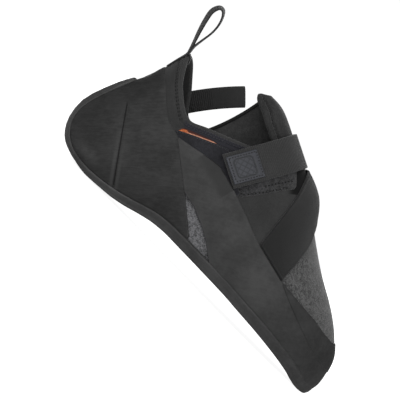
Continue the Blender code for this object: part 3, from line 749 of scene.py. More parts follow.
def streak_group():
    """Brush marks: noise stretched along one direction of the side view."""
    inputs = [("Vector", VECTOR, None), ("Turn", NUMBER, 0.0)]
    inputs += [("Along", NUMBER, 30.0), ("Across", NUMBER, 600.0)]
    tree, given, out = new_group("streaks", inputs, ["Mark", "Height"])
    turned = node(tree, "ShaderNodeVectorRotate", {"Vector": given["Vector"], "Angle": given["Turn"]},
                  rotation_type="Y_AXIS").outputs[0]
    scales = {0: given["Along"], 1: given["Along"], 2: given["Across"]}
    spot = vectors(tree, "MULTIPLY", turned, node(tree, "ShaderNodeCombineXYZ", scales).outputs[0])
    long_marks = noise(tree, spot, 1.0, detail=4.0, roughness=0.65, distortion=0.4)
    fine_marks = noise(tree, vectors(tree, "MULTIPLY", spot, (2.3, 2.3, 2.7)), 1.0)
    both = weighted(tree, long_marks, 0.6, fine_marks, 0.4)
    tree.links.new(between(tree, both, 0.36, 0.66), out.inputs["Mark"])
    tree.links.new(both, out.inputs["Height"])
    return tree


def heather_group():
    """Heathered knit: light and dark fibres as warped noise at two sizes, and fine loops."""
    inputs = [("Vector", VECTOR, None), ("Scale", NUMBER, 900.0)]
    tree, given, out = new_group("heather", inputs, ["Fleck", "Height"])
    fibres = noise(tree, given["Vector"], given["Scale"], roughness=0.7, distortion=1.6)
    clump_scale = maths(tree, "MULTIPLY", given["Scale"], 0.42)
    clumps = noise(tree, given["Vector"], clump_scale, distortion=0.8)
    loop_scale = maths(tree, "MULTIPLY", given["Scale"], 1.3)
    cells = node(tree, "ShaderNodeTexVoronoi", {"Vector": given["Vector"], "Scale": loop_scale})
    both = weighted(tree, fibres, 0.68, clumps, 0.32)
    tree.links.new(between(tree, both, 0.4, 0.6), out.inputs["Fleck"])
    loops = maths(tree, "MULTIPLY", cells.outputs["Distance"], 0.5)
    height = maths(tree, "SUBTRACT", both, loops)
    tree.links.new(height, out.inputs["Height"])
    return tree


def weave_group():
    """Woven tape on the surface map in millimetres: ribs across its length, split into threads."""
    inputs = [("Surface", VECTOR, None), ("Pitch", NUMBER, 1.2), ("Thread", NUMBER, 0.6)]
    tree, given, out = new_group("weave", inputs, ["Height", "Valley"])
    axes = axes_of(tree, given["Surface"])
    along = maths(tree, "DIVIDE", maths(tree, "MULTIPLY", axes[0], 2 * np.pi), given["Pitch"])
    wave = maths(tree, "SINE", along)
    row = maths(tree, "FLOOR", maths(tree, "DIVIDE", axes[1], given["Thread"]))
    threads = maths(tree, "SINE", maths(tree, "ADD", along, maths(tree, "MULTIPLY", row, np.pi)))
    across = maths(tree, "DIVIDE", maths(tree, "MULTIPLY", axes[1], np.pi), given["Thread"])
    cross = maths(tree, "ABSOLUTE", maths(tree, "SINE", across))
    crowns = maths(tree, "MULTIPLY", maths(tree, "MULTIPLY_ADD", threads, 0.1, 0.9), cross)
    tree.links.new(weighted(tree, wave, 0.6, crowns, 0.5), out.inputs["Height"])
    tree.links.new(between(tree, wave, 0.1, -0.9), out.inputs["Valley"])
    return tree


# Serves the heel's dart, and the lines of shaded(): painted shade for TRIM_SHADE and STRAP_SHADE.
def seam_and_shade_group():
    """Line in the side view, on the lateral side only: 1 on the segment, 0 beyond its width."""
    inputs = [(label, VECTOR, None) for label in ("Vector", "Start", "End")] + [("Width", NUMBER, 0.001)]
    tree, given, out = new_group("seam", inputs, ["Line", "Flank"])
    flat = vectors(tree, "MULTIPLY", given["Vector"], (1, 0, 1))
    span = vectors(tree, "SUBTRACT", given["End"], given["Start"])
    reach = vectors(tree, "SUBTRACT", flat, given["Start"])
    along = vectors(tree, "DOT_PRODUCT", reach, span, answer="Value")
    whole = vectors(tree, "DOT_PRODUCT", span, span, answer="Value")
    share = maths(tree, "DIVIDE", along, whole, clamp=True)
    nearest = node(tree, "ShaderNodeVectorMath", {0: span, "Scale": share}, operation="SCALE").outputs[0]
    away = vectors(tree, "DISTANCE", reach, nearest, answer="Value")
    ratio = maths(tree, "DIVIDE", away, given["Width"])
    side = maths(tree, "LESS_THAN", axes_of(tree, given["Vector"])[1], 0.0)
    taper = maths(tree, "MULTIPLY", between(tree, share, 0.0, 0.06), between(tree, share, 1.0, 0.97))
    line = maths(tree, "MULTIPLY", between(tree, ratio, 1.0, 0.35), maths(tree, "MULTIPLY", side, taper))
    tree.links.new(line, out.inputs["Line"])
    ring = maths(tree, "MULTIPLY", between(tree, ratio, 1.0, 2.2), between(tree, ratio, 6.0, 3.0))
    flank = maths(tree, "MULTIPLY", maths(tree, "MULTIPLY", ring, side), between(tree, share, 0.3, 0.8))
    tree.links.new(flank, out.inputs["Flank"])
    return tree


GROUPS = {
    "mottle": mottle_group(),
    "streaks": streak_group(),
    "heather": heather_group(),
    "weave": weave_group(),
    "seam": seam_and_shade_group(),
}


def use_group(tree, name, inputs):
    """A shared effect placed in a material."""
    return node(tree, "ShaderNodeGroup", inputs, node_tree=GROUPS[name]).outputs


def start_material(name, roughness, specular, sheen=0.0):
    """Material with its shader, its object coordinates, its surface map and its edge mask."""
    made = bpy.data.materials.new(name)
    made.use_nodes = True
    tree = made.node_tree
    shader = tree.nodes["Principled BSDF"]
    shader.inputs["Roughness"].default_value = roughness
    shader.inputs["Specular IOR Level"].default_value = specular
    shader.inputs["Sheen Weight"].default_value = sheen
    spot = node(tree, "ShaderNodeTexCoord").outputs
    rim = node(tree, "ShaderNodeAttribute", attribute_name="rim").outputs["Fac"]
    return made, tree, shader, spot["Object"], spot["UV"], rim


def paint(tree, shader, colour, height, depth, strength, roughness=None):
    """Joins a colour, a bump height and a roughness to the shader."""
    tree.links.new(colour, shader.inputs["Base Color"])
    bump = node(tree, "ShaderNodeBump", {"Height": height, "Distance": depth, "Strength": strength})
    tree.links.new(bump.outputs[0], shader.inputs["Normal"])
    if roughness is not None:
        tree.links.new(roughness, shader.inputs["Roughness"])


def grey(value, blue=0.0):
    """Linear grey, with an optional lean to blue."""
    return (value * (1 - 0.3 * blue), value * (1 - 0.3 * blue), value * (1 + 2 * blue), 1.0)


def seam_and_shade_mask(tree, spot, start, end, width):
    """Masks of a line between two points of the side view, in millimetres."""
    ends = {"Start": (start[0] * MM, 0, start[1] * MM), "End": (end[0] * MM, 0, end[1] * MM)}
    return use_group(tree, "seam", {"Vector": spot, "Width": width * MM, **ends})


def shaded(tree, spot, colour, shade):
    """Colour that turns to a tint along a line in the side view, softly over a width."""
    x0, z0, x1, z1, width, tint = shade
    return blended(tree, seam_and_shade_mask(tree, spot, (x0, z0), (x1, z1), width)["Line"], colour, tint)


def soft_spot(tree, spot, x, z, length, height):
    """Mask of a soft oval in the side view: 1 at its middle, 0 from its edge outwards."""
    size = (1 / (length * MM), 0, 1 / (height * MM))
    scaled = vectors(tree, "MULTIPLY", spot, size)
    away = vectors(tree, "DISTANCE", scaled, (x / length, 0, z / height), answer="Value")
    return between(tree, away, 1.0, 0.0)


def brush_marks(tree, spot, turn, along, across):
    """Brush marks at a turn in degrees."""
    sizes = {"Turn": np.radians(turn), "Along": along, "Across": across}
    return use_group(tree, "streaks", {"Vector": spot, **sizes})


def slow_tone(tree, spot, scale):
    """Slow uneven tone from 0 to 1."""
    return use_group(tree, "mottle", {"Vector": spot, "Scale": scale})["Tone"]


def heel_rubber():
    """Near-black rubber with brushed streaks and a dart; painted highlights on its edges and low on the heel.
    """
    made, tree, shader, spot, _, rim = start_material("heel_rubber", roughness=0.6, specular=0.22)
    streaks = brush_marks(tree, spot, turn=44.0, along=110.0, across=620.0)
    tone = slow_tone(tree, spot, 38.0)
    dart = seam_and_shade_mask(tree, spot, DART_TOP, DART_FOOT, width=0.7)
    share = weighted(tree, streaks["Mark"], 0.42, tone, 0.58)
    front = between(tree, axes_of(tree, spot)[0], -0.012, 0.028)
    colour = blended(tree, share, grey(0.0145), grey(0.036))
    colour = tinted(tree, front, 0.42, colour, blended(tree, share, grey(0.007), grey(0.022)))
    # Painted highlight along the edges, and a painted shadow line by the outsole's lip and strip where the
    # edge mask is negative.
    colour = tinted(tree, rim, 0.35, colour, grey(0.055))
    colour = tinted(tree, rim, -0.6, colour, grey(0.006))
    # Painted highlight low on the heel, where light falls on the rand's bulge.
    heel_highlight = soft_spot(tree, spot, x=-6, z=12, length=17, height=8)
    colour = blended(tree, heel_highlight, colour, blended(tree, share, grey(0.036), grey(0.066)))
    colour = tinted(tree, dart["Flank"], 0.4, colour, grey(0.06))
    colour = tinted(tree, dart["Line"], 0.9, colour, grey(0.003))
    height = maths(tree, "SUBTRACT", streaks["Height"], maths(tree, "MULTIPLY", dart["Line"], 2.0))
    rough = between(tree, share, 0.0, 1.0, 0.68, 0.52)
    paint(tree, shader, colour, height, depth=0.00012, strength=0.7, roughness=rough)
    return made


def toe_rubber(name, dark, light, turn, shade=None, heel=1.0):
    """Smooth rubber with soft smudges, a painted edge highlight, darker lines, and painted shade as in
    cloth().

    At the heel it is paler by the heel factor."""
    made, tree, shader, spot, _, rim = start_material(name, roughness=0.55, specular=0.22)
    streaks = brush_marks(tree, spot, turn, along=60.0, across=240.0)
    tone = slow_tone(tree, spot, 45.0)
    share = weighted(tree, streaks["Mark"], 0.3, tone, 0.7)
    colour = blended(tree, share, grey(dark), grey(light))
    behind = between(tree, axes_of(tree, spot)[0], 0.05, 0.012)
    colour = blended(tree, behind, colour, blended(tree, share, grey(dark * heel), grey(light * heel)))
    # Painted highlight along the edges. Where the edge mask is negative the rubber turns darker: a painted
    # shadow line on the toe rand and at the patch's top edge.
    colour = tinted(tree, rim, 0.35, colour, grey(light * 1.8))
    colour = tinted(tree, rim, -0.6, colour, grey(dark * 0.4))
    if shade is not None:
        colour = shaded(tree, spot, colour, shade)
    fine = noise(tree, spot, 2600.0, detail=2.0, roughness=0.5)
    height = weighted(tree, streaks["Height"], 0.5, fine, 0.4)
    rough = between(tree, tone, 0.0, 1.0, 0.6, 0.5)
    paint(tree, shader, colour, height, depth=0.00008, strength=0.6, roughness=rough)
    return made


def knit(name, dark, light, scale, rear=1.0):
    """Heathered knit fabric, paler by the rear factor behind the ball of the foot."""
    made, tree, shader, spot, _, _ = start_material(name, roughness=0.92, specular=0.12, sheen=0.25)
    flecks = use_group(tree, "heather", {"Vector": spot, "Scale": scale})
    share = weighted(tree, flecks["Fleck"], 0.82, slow_tone(tree, spot, 50.0), 0.18)
    colour = blended(tree, share, grey(dark), grey(light))
    behind = between(tree, axes_of(tree, spot)[0], 0.12, 0.09)
    paler = blended(tree, share, grey(dark * rear, 0.02), grey(light * rear, 0.02))
    colour = blended(tree, behind, colour, paler)
    paint(tree, shader, colour, flecks["Height"], depth=0.0004, strength=0.8)
    return made


def cloth(name, dark, light, scale, blue=0.0, sheen=0.15, depth=0.00012, shade=None):
    """Close plain cloth: fine grain, slow change of tone and a painted highlight along its edges.

    A shade is a line in the side view, its width and the colour that the cloth takes along it."""
    made, tree, shader, spot, _, rim = start_material(name, roughness=0.85, specular=0.15, sheen=sheen)
    flecks = use_group(tree, "heather", {"Vector": spot, "Scale": scale})
    share = weighted(tree, flecks["Fleck"], 0.45, slow_tone(tree, spot, 40.0), 0.55)
    colour = blended(tree, share, grey(dark, blue), grey(light, blue))
    # Painted highlight along the edges.
    colour = tinted(tree, rim, 0.3, colour, grey(light * 1.8, blue))
    if shade is not None:
        colour = shaded(tree, spot, colour, shade)
    paint(tree, shader, colour, flecks["Height"], depth, strength=0.7)
    return made


def webbing(name, dark, light, pitch, thread, ribs_end=ENDLESS, valley=0.55):
    """Woven tape with ribs across its first stretch, with painted shade by the valley share between the ribs.
    """
    made, tree, shader, spot, surface, _ = start_material(name, roughness=0.8, specular=0.2, sheen=0.15)
    weave = use_group(tree, "weave", {"Surface": surface, "Pitch": pitch, "Thread": thread})
    fibre = noise(tree, spot, 2400.0, detail=2.0)
    share = weighted(tree, slow_tone(tree, spot, 70.0), 0.5, fibre, 0.5)
    colour = blended(tree, share, grey(dark), grey(light))
    ribbed = between(tree, axes_of(tree, surface)[0], ribs_end, ribs_end - 3.0, 0.12, 1.0)
    # Painted shade in the valleys between the ribs.
    valley_shade = maths(tree, "MULTIPLY", maths(tree, "MULTIPLY", weave["Valley"], valley), ribbed)
    colour = blended(tree, valley_shade, colour, grey(dark * 0.35))
    height = maths(tree, "MULTIPLY", weave["Height"], ribbed)
    paint(tree, shader, colour, height, depth=0.00018, strength=0.8)
    return made


def badge_plastic():
    """Moulded soft plastic with a fine grain, a painted highlight on its edges and painted shade in its
    grooves.
    """
    made, tree, shader, spot, _, rim = start_material("badge", roughness=0.5, specular=0.35)
    tone = slow_tone(tree, spot, 90.0)
    grain = noise(tree, spot, 3000.0, detail=2.0, roughness=0.5)
    colour = blended(tree, tone, (0.0228, 0.0243, 0.0305, 1), (0.0308, 0.033, 0.041, 1))
    # Painted highlight on the edges, and painted shade where the edge mask turns negative in the grooves.
    colour = tinted(tree, rim, 0.4, colour, (0.058, 0.062, 0.072, 1))
    colour = tinted(tree, rim, -0.95, colour, (0.006, 0.007, 0.009, 1))
    paint(tree, shader, colour, grain, depth=0.00006, strength=0.5)
    return made


def orange_lining():
    """Channel lining cloth: painted highlight on its lower edge and rear end, dark red painted shade in its
    depth.
    """
    finish = {"roughness": 0.75, "specular": 0.2, "sheen": 0.2}
    made, tree, shader, spot, surface, _ = start_material("orange_lining", **finish)
    flecks = use_group(tree, "heather", {"Vector": spot, "Scale": 1500.0})
    axes = axes_of(tree, surface)
    reach = between(tree, axes[0], 10.0, 7.0, 1.75, 3.1)
    lit = between(tree, maths(tree, "SUBTRACT", axes[1], reach), 0.35, -0.3)
    lit = maths(tree, "MULTIPLY", lit, between(tree, axes[0], 32.0, 27.0))
    rear = blended(tree, flecks["Fleck"], (0.26, 0.055, 0.014, 1), (0.52, 0.15, 0.05, 1))
    front = blended(tree, flecks["Fleck"], (0.4, 0.16, 0.09, 1), (0.6, 0.29, 0.19, 1))
    bright = blended(tree, between(tree, axes[0], 7.0, 12.0), rear, front)
    # Painted shade, dark red, in the channel's depth under the cuff, away from the lit band.
    colour = blended(tree, lit, (0.045, 0.011, 0.008, 1), bright)
    paint(tree, shader, colour, flecks["Height"], depth=0.0002, strength=0.7)
    return made


# Shades in the side view: start x and z, end x and z, width, and the tint along the line.
# TRIM_SHADE is painted shade on the toe rand by the trim and strap, STRAP_SHADE a painted shadow in the
# gap under the lower band's rear edge, and CUFF_SHADE turns the cuff darker and bluer along the collar.
TRIM_SHADE = (52, 72, 84, 64, 11.0, grey(0.019))
STRAP_SHADE = (105, 110.5, 117.5, 95, 8.0, grey(0.0045))
CUFF_SHADE = (26, 74, 75, 98, 14.0, grey(0.02, blue=0.11))

# A thread wider than the tape leaves its ribs whole.
WHOLE_RIB = 40.0

HEEL_RUBBER = heel_rubber()
TOE_RUBBER = toe_rubber("toe_rubber", dark=0.02, light=0.041, turn=30.0, shade=TRIM_SHADE)
PATCH_RUBBER = toe_rubber("patch_rubber", dark=0.018, light=0.0375, turn=50.0)
SOLE_RUBBER = toe_rubber("sole_rubber", dark=0.026, light=0.051, turn=2.0, heel=1.4)
GREY_KNIT = knit("grey_knit", dark=0.018, light=0.121, scale=900.0, rear=1.78)
LINING = cloth("lining", dark=0.012, light=0.022, scale=1600.0)
PANEL_CLOTH = cloth("panel_cloth", dark=0.022, light=0.04, scale=2400.0, sheen=0.04, shade=STRAP_SHADE)
CUFF_CLOTH = cloth("cuff_cloth", dark=0.0205, light=0.034, scale=1700.0, shade=CUFF_SHADE)
ROLL_CLOTH = cloth("roll_cloth", dark=0.026, light=0.042, scale=1700.0)
TRIM_CLOTH = cloth("trim_cloth", dark=0.0072, light=0.026, scale=1000.0, blue=0.08)
WING_CLOTH = cloth("wing_cloth", dark=0.028, light=0.071, scale=1100.0, sheen=0.12, depth=0.0003)
TONGUE_KNIT = cloth("tongue_knit", dark=0.0125, light=0.043, scale=1100.0, sheen=0.12, depth=0.0003)
BINDING = cloth("binding", dark=0.006, light=0.011, scale=1700.0)
PILE = knit("loop_pile", dark=0.009, light=0.054, scale=950.0)
BAND_WEB = webbing("band_web", dark=0.011, light=0.0168, pitch=0.7, thread=0.5)
STRAP_WEB = webbing("strap_web", dark=0.022, light=0.0355, pitch=STRAP_RIB_PITCH, thread=WHOLE_RIB,
                    valley=0.22)
TAPE_WEB = webbing("tape_web", dark=0.017, light=0.028, pitch=1.4, thread=WHOLE_RIB, valley=0.85,
                   ribs_end=SIDE_LOOP_RIBS_END)
LOOP_WEB = webbing("loop_web", dark=0.014, light=0.03, pitch=1.0, thread=0.7)
BADGE = badge_plastic()
ORANGE = orange_lining()
DARK_THREAD = cloth("dark_thread", dark=0.006, light=0.01, scale=2600.0)
GREY_THREAD = cloth("grey_thread", dark=0.04, light=0.07, scale=2600.0)
SEAM_THREAD = cloth("seam_thread", dark=0.03, light=0.05, scale=2600.0, blue=0.06)
INSOLE_CLOTH = cloth("insole_cloth", dark=0.03, light=0.05, scale=1300.0)


# Pieces.


def around_places(step):
    """Places once around the shoe, the same on both sides, closer together behind the heel."""
    heel = np.concatenate([np.arange(0, 0.6, 0.0125), np.arange(0.6, 1.2, 0.025)])
    side = np.linspace(1.2, TOE_ROW, int((TOE_ROW - 1.2) / step))
    lateral = np.concatenate([heel, side])
    return np.concatenate([lateral, ROW_COUNT - lateral[-2:0:-1]])


def bumps(points, rows):
    """Soft ridges and troughs: for each row, a height over a stroke between two side-view points."""
    flat = points[..., [0, 2]]
    total = np.zeros(flat.shape[:-1])
    for x0, z0, x1, z1, width, height, side in rows:
        start, span = np.array([x0, z0]), np.array([x1 - x0, z1 - z0])
        share = np.clip(((flat - start) * span).sum(-1) / (span @ span), 0, 1)
        away = np.linalg.norm(flat - start - share[..., None] * span, axis=-1)
        fade = np.sin(np.pi * (0.15 + 0.7 * share))
        total += height * fade * hump(away, 0, width) * (points[..., 1] * side > 0)
    return total


# Creases, seen from the side: start x and z, end x and z, width, height, and side of the shoe.
RAND_CREASES = (
    (40, 57, 66, 60, 6, 0.35, -1), (96, 40, 118, 33, 5, -0.3, -1), (120, 34, 140, 27, 6, 0.25, -1),
    (108, 28, 130, 24, 4, -0.25, -1), (52, 62, 72, 64, 4, -0.25, -1), (150, 32, 172, 26, 6, -0.2, -1),
    (80, 46, 110, 38, 5, -0.25, 1), (120, 36, 150, 30, 6, 0.25, 1),
)
HEEL_CREASES = (
    (-6, 78, 8, 62, 4, -0.3, -1), (2, 70, 16, 55, 5, 0.3, -1), (-24, 30, -18, 44, 6, 0.3, -1),
    (30, 50, 52, 34, 5, -0.25, -1), (*DART_TOP, *DART_FOOT, 1.6, -0.45, -1), (4, 40, 26, 14, 2.4, 0.3, -1),
    (0, 72, 18, 56, 5, -0.3, 1), (20, 52, 48, 34, 6, 0.3, 1),
)
PANEL_CREASES = (
    (98, 74, 116, 66, 4, -0.3, -1), (94, 82, 112, 78, 4, 0.4, -1), (104, 62, 122, 58, 4, 0.3, -1),
    (60, 74, 74, 84, 3, -0.25, -1), (80, 70, 100, 74, 5, -0.3, 1), (60, 66, 84, 80, 5, 0.4, 1),
)


def build_upper():
    """Hollow shell: the wall from the sole line to the collar and ridge, its inside one wall deeper."""
    places = around_places(0.065)
    climbs = np.linspace(0, 1, 52)
    spot, climb = np.meshgrid(places, climbs, indexing="ij")
    outer = wall(spot, climb)
    near_toe = np.exp(-(((spot - TOE_ROW) / 2.6) ** 4)) * np.clip((climb - 0.45) / 0.4, 0, 1)
    inner = wall(spot, climb, -UPPER_WALL * (1 - 0.9 * near_toe))
    rows, columns = outer.shape[:2]
    count = rows * columns
    ring = np.arange(rows)
    ahead = np.roll(ring, -1)
    open_top = rows_from_heel(places) < THROAT_ROW
    open_top = open_top | np.roll(open_top, -1)
    low = np.stack([ring * columns, ahead * columns, ahead * columns + count, ring * columns + count], -1)
    top = low + columns - 1
    outside = grid_quads(rows, columns, closed_rows=True)
    inside = grid_quads(rows, columns, count, flip=True, closed_rows=True)
    quads = np.vstack([outside, inside, low[:, ::-1], top[open_top]])
    finish_of = np.concatenate([np.zeros(len(outside)), np.ones(len(quads) - len(outside))])
    points = np.concatenate([outer.reshape(-1, 3), inner.reshape(-1, 3)])
    run = arc_length(wall(places, np.full(len(places), 0.5)))
    uv = np.stack([np.broadcast_to(run[:, None], climb.shape), climb * 80], -1)
    add_piece("upper_shell", points, quads, [GREY_KNIT, LINING], np.concatenate([uv, uv]), None,
              ("upper",), finish_of)


def lanes_between(edge, lanes, height):
    """Grid across the sole from each lateral point to its medial twin, at the given heights."""
    half = len(edge) // 2
    lateral = edge[: half + 1]
    medial = np.vstack([edge[:1], edge[: half - 1 : -1]])
    share = np.linspace(0, 1, lanes + 1)[None, :, None]
    grid = lateral[:, None] * (1 - share) + medial[:, None] * share
    grid[:, 1:-1, 2] = height(grid[:, 1:-1])
    return grid


def add_plate(name, rings, lanes, bottom, top, finish, replaces):
    """Solid from rings stacked around the shoe, closed by a bottom and a top grid across it."""
    stack = np.stack(rings, 1)
    count, levels = stack.shape[:2]
    parts, quads = [stack.reshape(-1, 3)], [grid_quads(count, levels, closed_rows=True)]
    start = count * levels
    for grid in (lanes_between(rings[0], lanes, bottom), lanes_between(rings[-1], lanes, top)):
        rows, columns = grid.shape[:2]
        quads.append(grid_quads(rows, columns, start))
        parts.append(grid.reshape(-1, 3))
        start += rows * columns
    points = np.vstack(parts)
    return add_piece(name, points, np.vstack(quads), [finish], points[:, :2], None, replaces)


def build_sole():
    """Rubber plate: rounded bottom edge, a side that follows the wall, a rounded lip and the heel strip."""
    places = around_places(0.065)
    lip = lip_climb(places)
    share = np.array([
        0.0, 0.03, 0.06, 0.1, 0.15, 0.2, 0.27, 0.35, 0.45, 0.55, 0.65, 0.75, 0.82, 0.87, 0.92, 0.955, 0.98,
        0.993, 1.0,
    ])
    toe = hump(np.mod(places, ROW_COUNT), TOE_ROW, 1.6)
    climbs = lip[:, None] * share
    spot = np.broadcast_to(places[:, None], climbs.shape)
    path = wall(spot, climbs, 0.0)
    to_top = to_end(path)
    away = rows_from_heel(places)
    plain = SOLE_LIFT * (0.25 + 0.75 * round_edge(to_top / LIP_RADIUS))
    from_foot = to_top[:, :1] - to_top
    tapered = TOE_EDGE_LIFT + 1.6 * np.clip(to_top / 4.5, 0, 1)
    tapered = tapered - 0.5 * (1 - np.clip(from_foot / 2.6, 0, 1)) ** 2
    lift = plain * (1 - toe)[:, None] + tapered * toe[:, None]
    heel = hump(away, 0, HEEL_REACH)
    crown = hump(away, 0, CROWN_REACH)[:, None] * round_edge(to_top / 2.5)
    lift = lift + heel[:, None] * smooth_line(path[..., 2], HEEL_FOOT_ROWS)
    lift = lift + crown * smooth_line(path[..., 2], HEEL_CROWN_ROWS)
    side = wall(spot, climbs, SKIN_BASE + lift)
    inward = np.array([18, 14, 10, 6, 3, 0])
    back = wall(spot[:, inward], climbs[:, inward], SKIN_BASE)
    foot = bare_wall(places, np.zeros(len(places)))
    edge = side[:, 0]
    outward = unit((edge - foot) * np.array([1.0, 1.0, 0.0]))
    rounds = []
    radius = SOLE_EDGE_RADIUS + TOE_EDGE_ROUND * toe + HEEL_EDGE_ROUND * heel
    top_of_round = np.minimum(sole_face(edge) + radius, edge[:, 2] - 0.1)
    height = top_of_round - sole_face(edge)
    for step in np.linspace(0, 1, 8):
        angle = step * np.pi / 2
        reach = np.sin(angle) * (1 - heel) + step * heel
        climb = (1 - np.cos(angle)) * (1 - heel) + step**2 * heel
        point = edge - (radius * (1 - reach))[:, None] * outward
        settled = sole_face(point) * (1 - climb) + sole_face(edge) * climb
        point[:, 2] = settled + height * climb
        rounds.append(point)
    back[:, -1, 2] = foot[:, 2] - SEAT_GAP
    rings = rounds + [side[:, k] for k in range(side.shape[1])] + [back[:, k] for k in range(back.shape[1])]
    add_plate("sole_body", rings, 26, sole_face, lambda points: sole_bottom(points[..., 0]) + SOLE_THICKNESS,
              SOLE_RUBBER, ("outsole",))


def build_insole():
    """Thin board on the outsole, with a rounded edge."""
    places = around_places(0.1)
    foot = bare_wall(places, np.zeros(len(places)))
    out = facing(wall_rows(places)["turn"])
    floor = SOLE_THICKNESS + INSOLE_LIFT
    rings = []
    for inset, height in ((0.3, 0.0), (0.0, 0.3), (0.0, 1.6), (0.2, 2.0), (0.6, INSOLE_THICKNESS)):
        edge = foot - (INSOLE_MARGIN + inset) * out
        edge[:, 2] = sole_bottom(edge[:, 0]) + floor + height
        rings.append(edge)
    under = lambda points: sole_bottom(points[..., 0]) + floor
    add_plate("insole_board", rings, 20, under, lambda points: under(points) + INSOLE_THICKNESS,
              INSOLE_CLOTH, ("insole",))


def shadow_line(sheet, distance):
    """Mask of a painted shadow line at a distance above a sheet's lower edge."""
    return hump(sheet["uv"][..., 1], distance, 0.7)


def build_rands():
    """Heel rand, toe rand and the thin toe patch; each tucks under the piece that covers its edge."""
    tuck, toe_tuck = 0.018, 0.03
    places = np.unique(np.concatenate([places_between(*HEEL_RAND_SPAN, 0.045), np.arange(-0.9, 0.9, 0.0125)]))
    low = np.maximum(lip_climb(places) - tuck, 0)
    high = climb_to_edge(places, HEEL_RAND_TOP)

    def relief(points, along, length, inward):
        forward = np.clip((points[..., 0] - 22) / 8, 0, 1)
        dip = 0.9 * np.exp(-(((points[..., 2] - 78) / 5) ** 2) - (points[..., 1] / 9) ** 2)
        return bumps(points, HEEL_CREASES) - dip - 0.5 * forward * hump(length - along, 0, 6)

    places, low, high = widest(places, low, high)
    sheet = panel(places, low, high, SKIN_BASE, RAND_LIFT, radius=1.2, rows=84, relief=relief)
    # Painted shadow line just above the outsole's lip and strip.
    sheet["rim"] = sheet["rim"] - shadow_line(sheet, 1.7)
    add_sheet("heel_rand_skin", sheet, HEEL_RUBBER, ("heel_rand",))
    places = places_between(*TOE_RAND_SPAN, 0.06)
    lateral = places <= TOE_ROW
    foot = np.where(lateral, climb_to_edge(places, TOE_RAND_BOTTOM), climb_to_edge(places, INNER_RAND_BOTTOM))
    head = np.where(lateral, climb_to_edge(places, TOE_RAND_TOP), climb_to_edge(places, INNER_RAND_TOP))
    low = np.maximum(foot, lip_climb(places) - toe_tuck)
    places, low, head = widest(places, low, head)

    def thinned(full):
        """Thickness that runs out towards the upper edge at the front of the toe."""
        def thickness(points, along, length):
            forward = np.clip((points[..., 0] - 172) / 28, 0, 1)
            bulge = np.clip((points[..., 0] - 196) / 16, 0, 1) * hump(points[..., 2], 9, 9.5)
            return full - 1.8 * forward * hump(length - along, 0, 9) + 1.8 * bulge
        return thickness

    relief = lambda points, along, length, inward: bumps(points, RAND_CREASES)
    sheet = panel(places, low, head, SKIN_BASE, thinned(RAND_LIFT), radius=0.5, rows=64, relief=relief)
    # Painted shadow line above the outsole's lip, fading towards the toe.
    beside_lip = np.abs(low - (lip_climb(places) - toe_tuck)) < 1e-6
    fading = np.clip((186 - sheet["inner"][..., 0]) / 40, 0.15, 1)
    sheet["rim"] = sheet["rim"] - shadow_line(sheet, 2.2) * beside_lip[:, None] * fading
    add_sheet("toe_rand_skin", sheet, TOE_RUBBER, ("toe_rand",))
    places = places_between(*TOE_PATCH_SPAN, 0.05)
    low = np.maximum(climb_to_edge(places, TOE_PATCH_BOTTOM), lip_climb(places) - toe_tuck)
    head = climb_to_edge(places, TOE_RAND_TOP)
    places, low, head = widest(places, low, head)
    thickness = thinned(RAND_LIFT + TOE_PATCH_LIFT)
    sheet = panel(places, low, head + 0.003, SKIN_BASE, thickness, radius=0.7, rows=44)
    along = sheet["uv"][..., 1]
    rear = np.clip((182 - sheet["inner"][..., 0]) / 8, 0, 1)
    # Painted shadow along the patch's top edge at the knit, and a dark line along its lower rear edge.
    sheet["rim"] = -rear * np.exp(-along / 1.1) - 0.8 * np.exp(-(along[:, -1:] - along) / 0.9)
    add_sheet("toe_patch", sheet, PATCH_RUBBER)


def wall_path(places, climbs, offset):
    """Line on the wall and its outward directions, for sewing."""
    return wall(places, climbs, offset), wall_normal(places, np.minimum(climbs, 0.99))


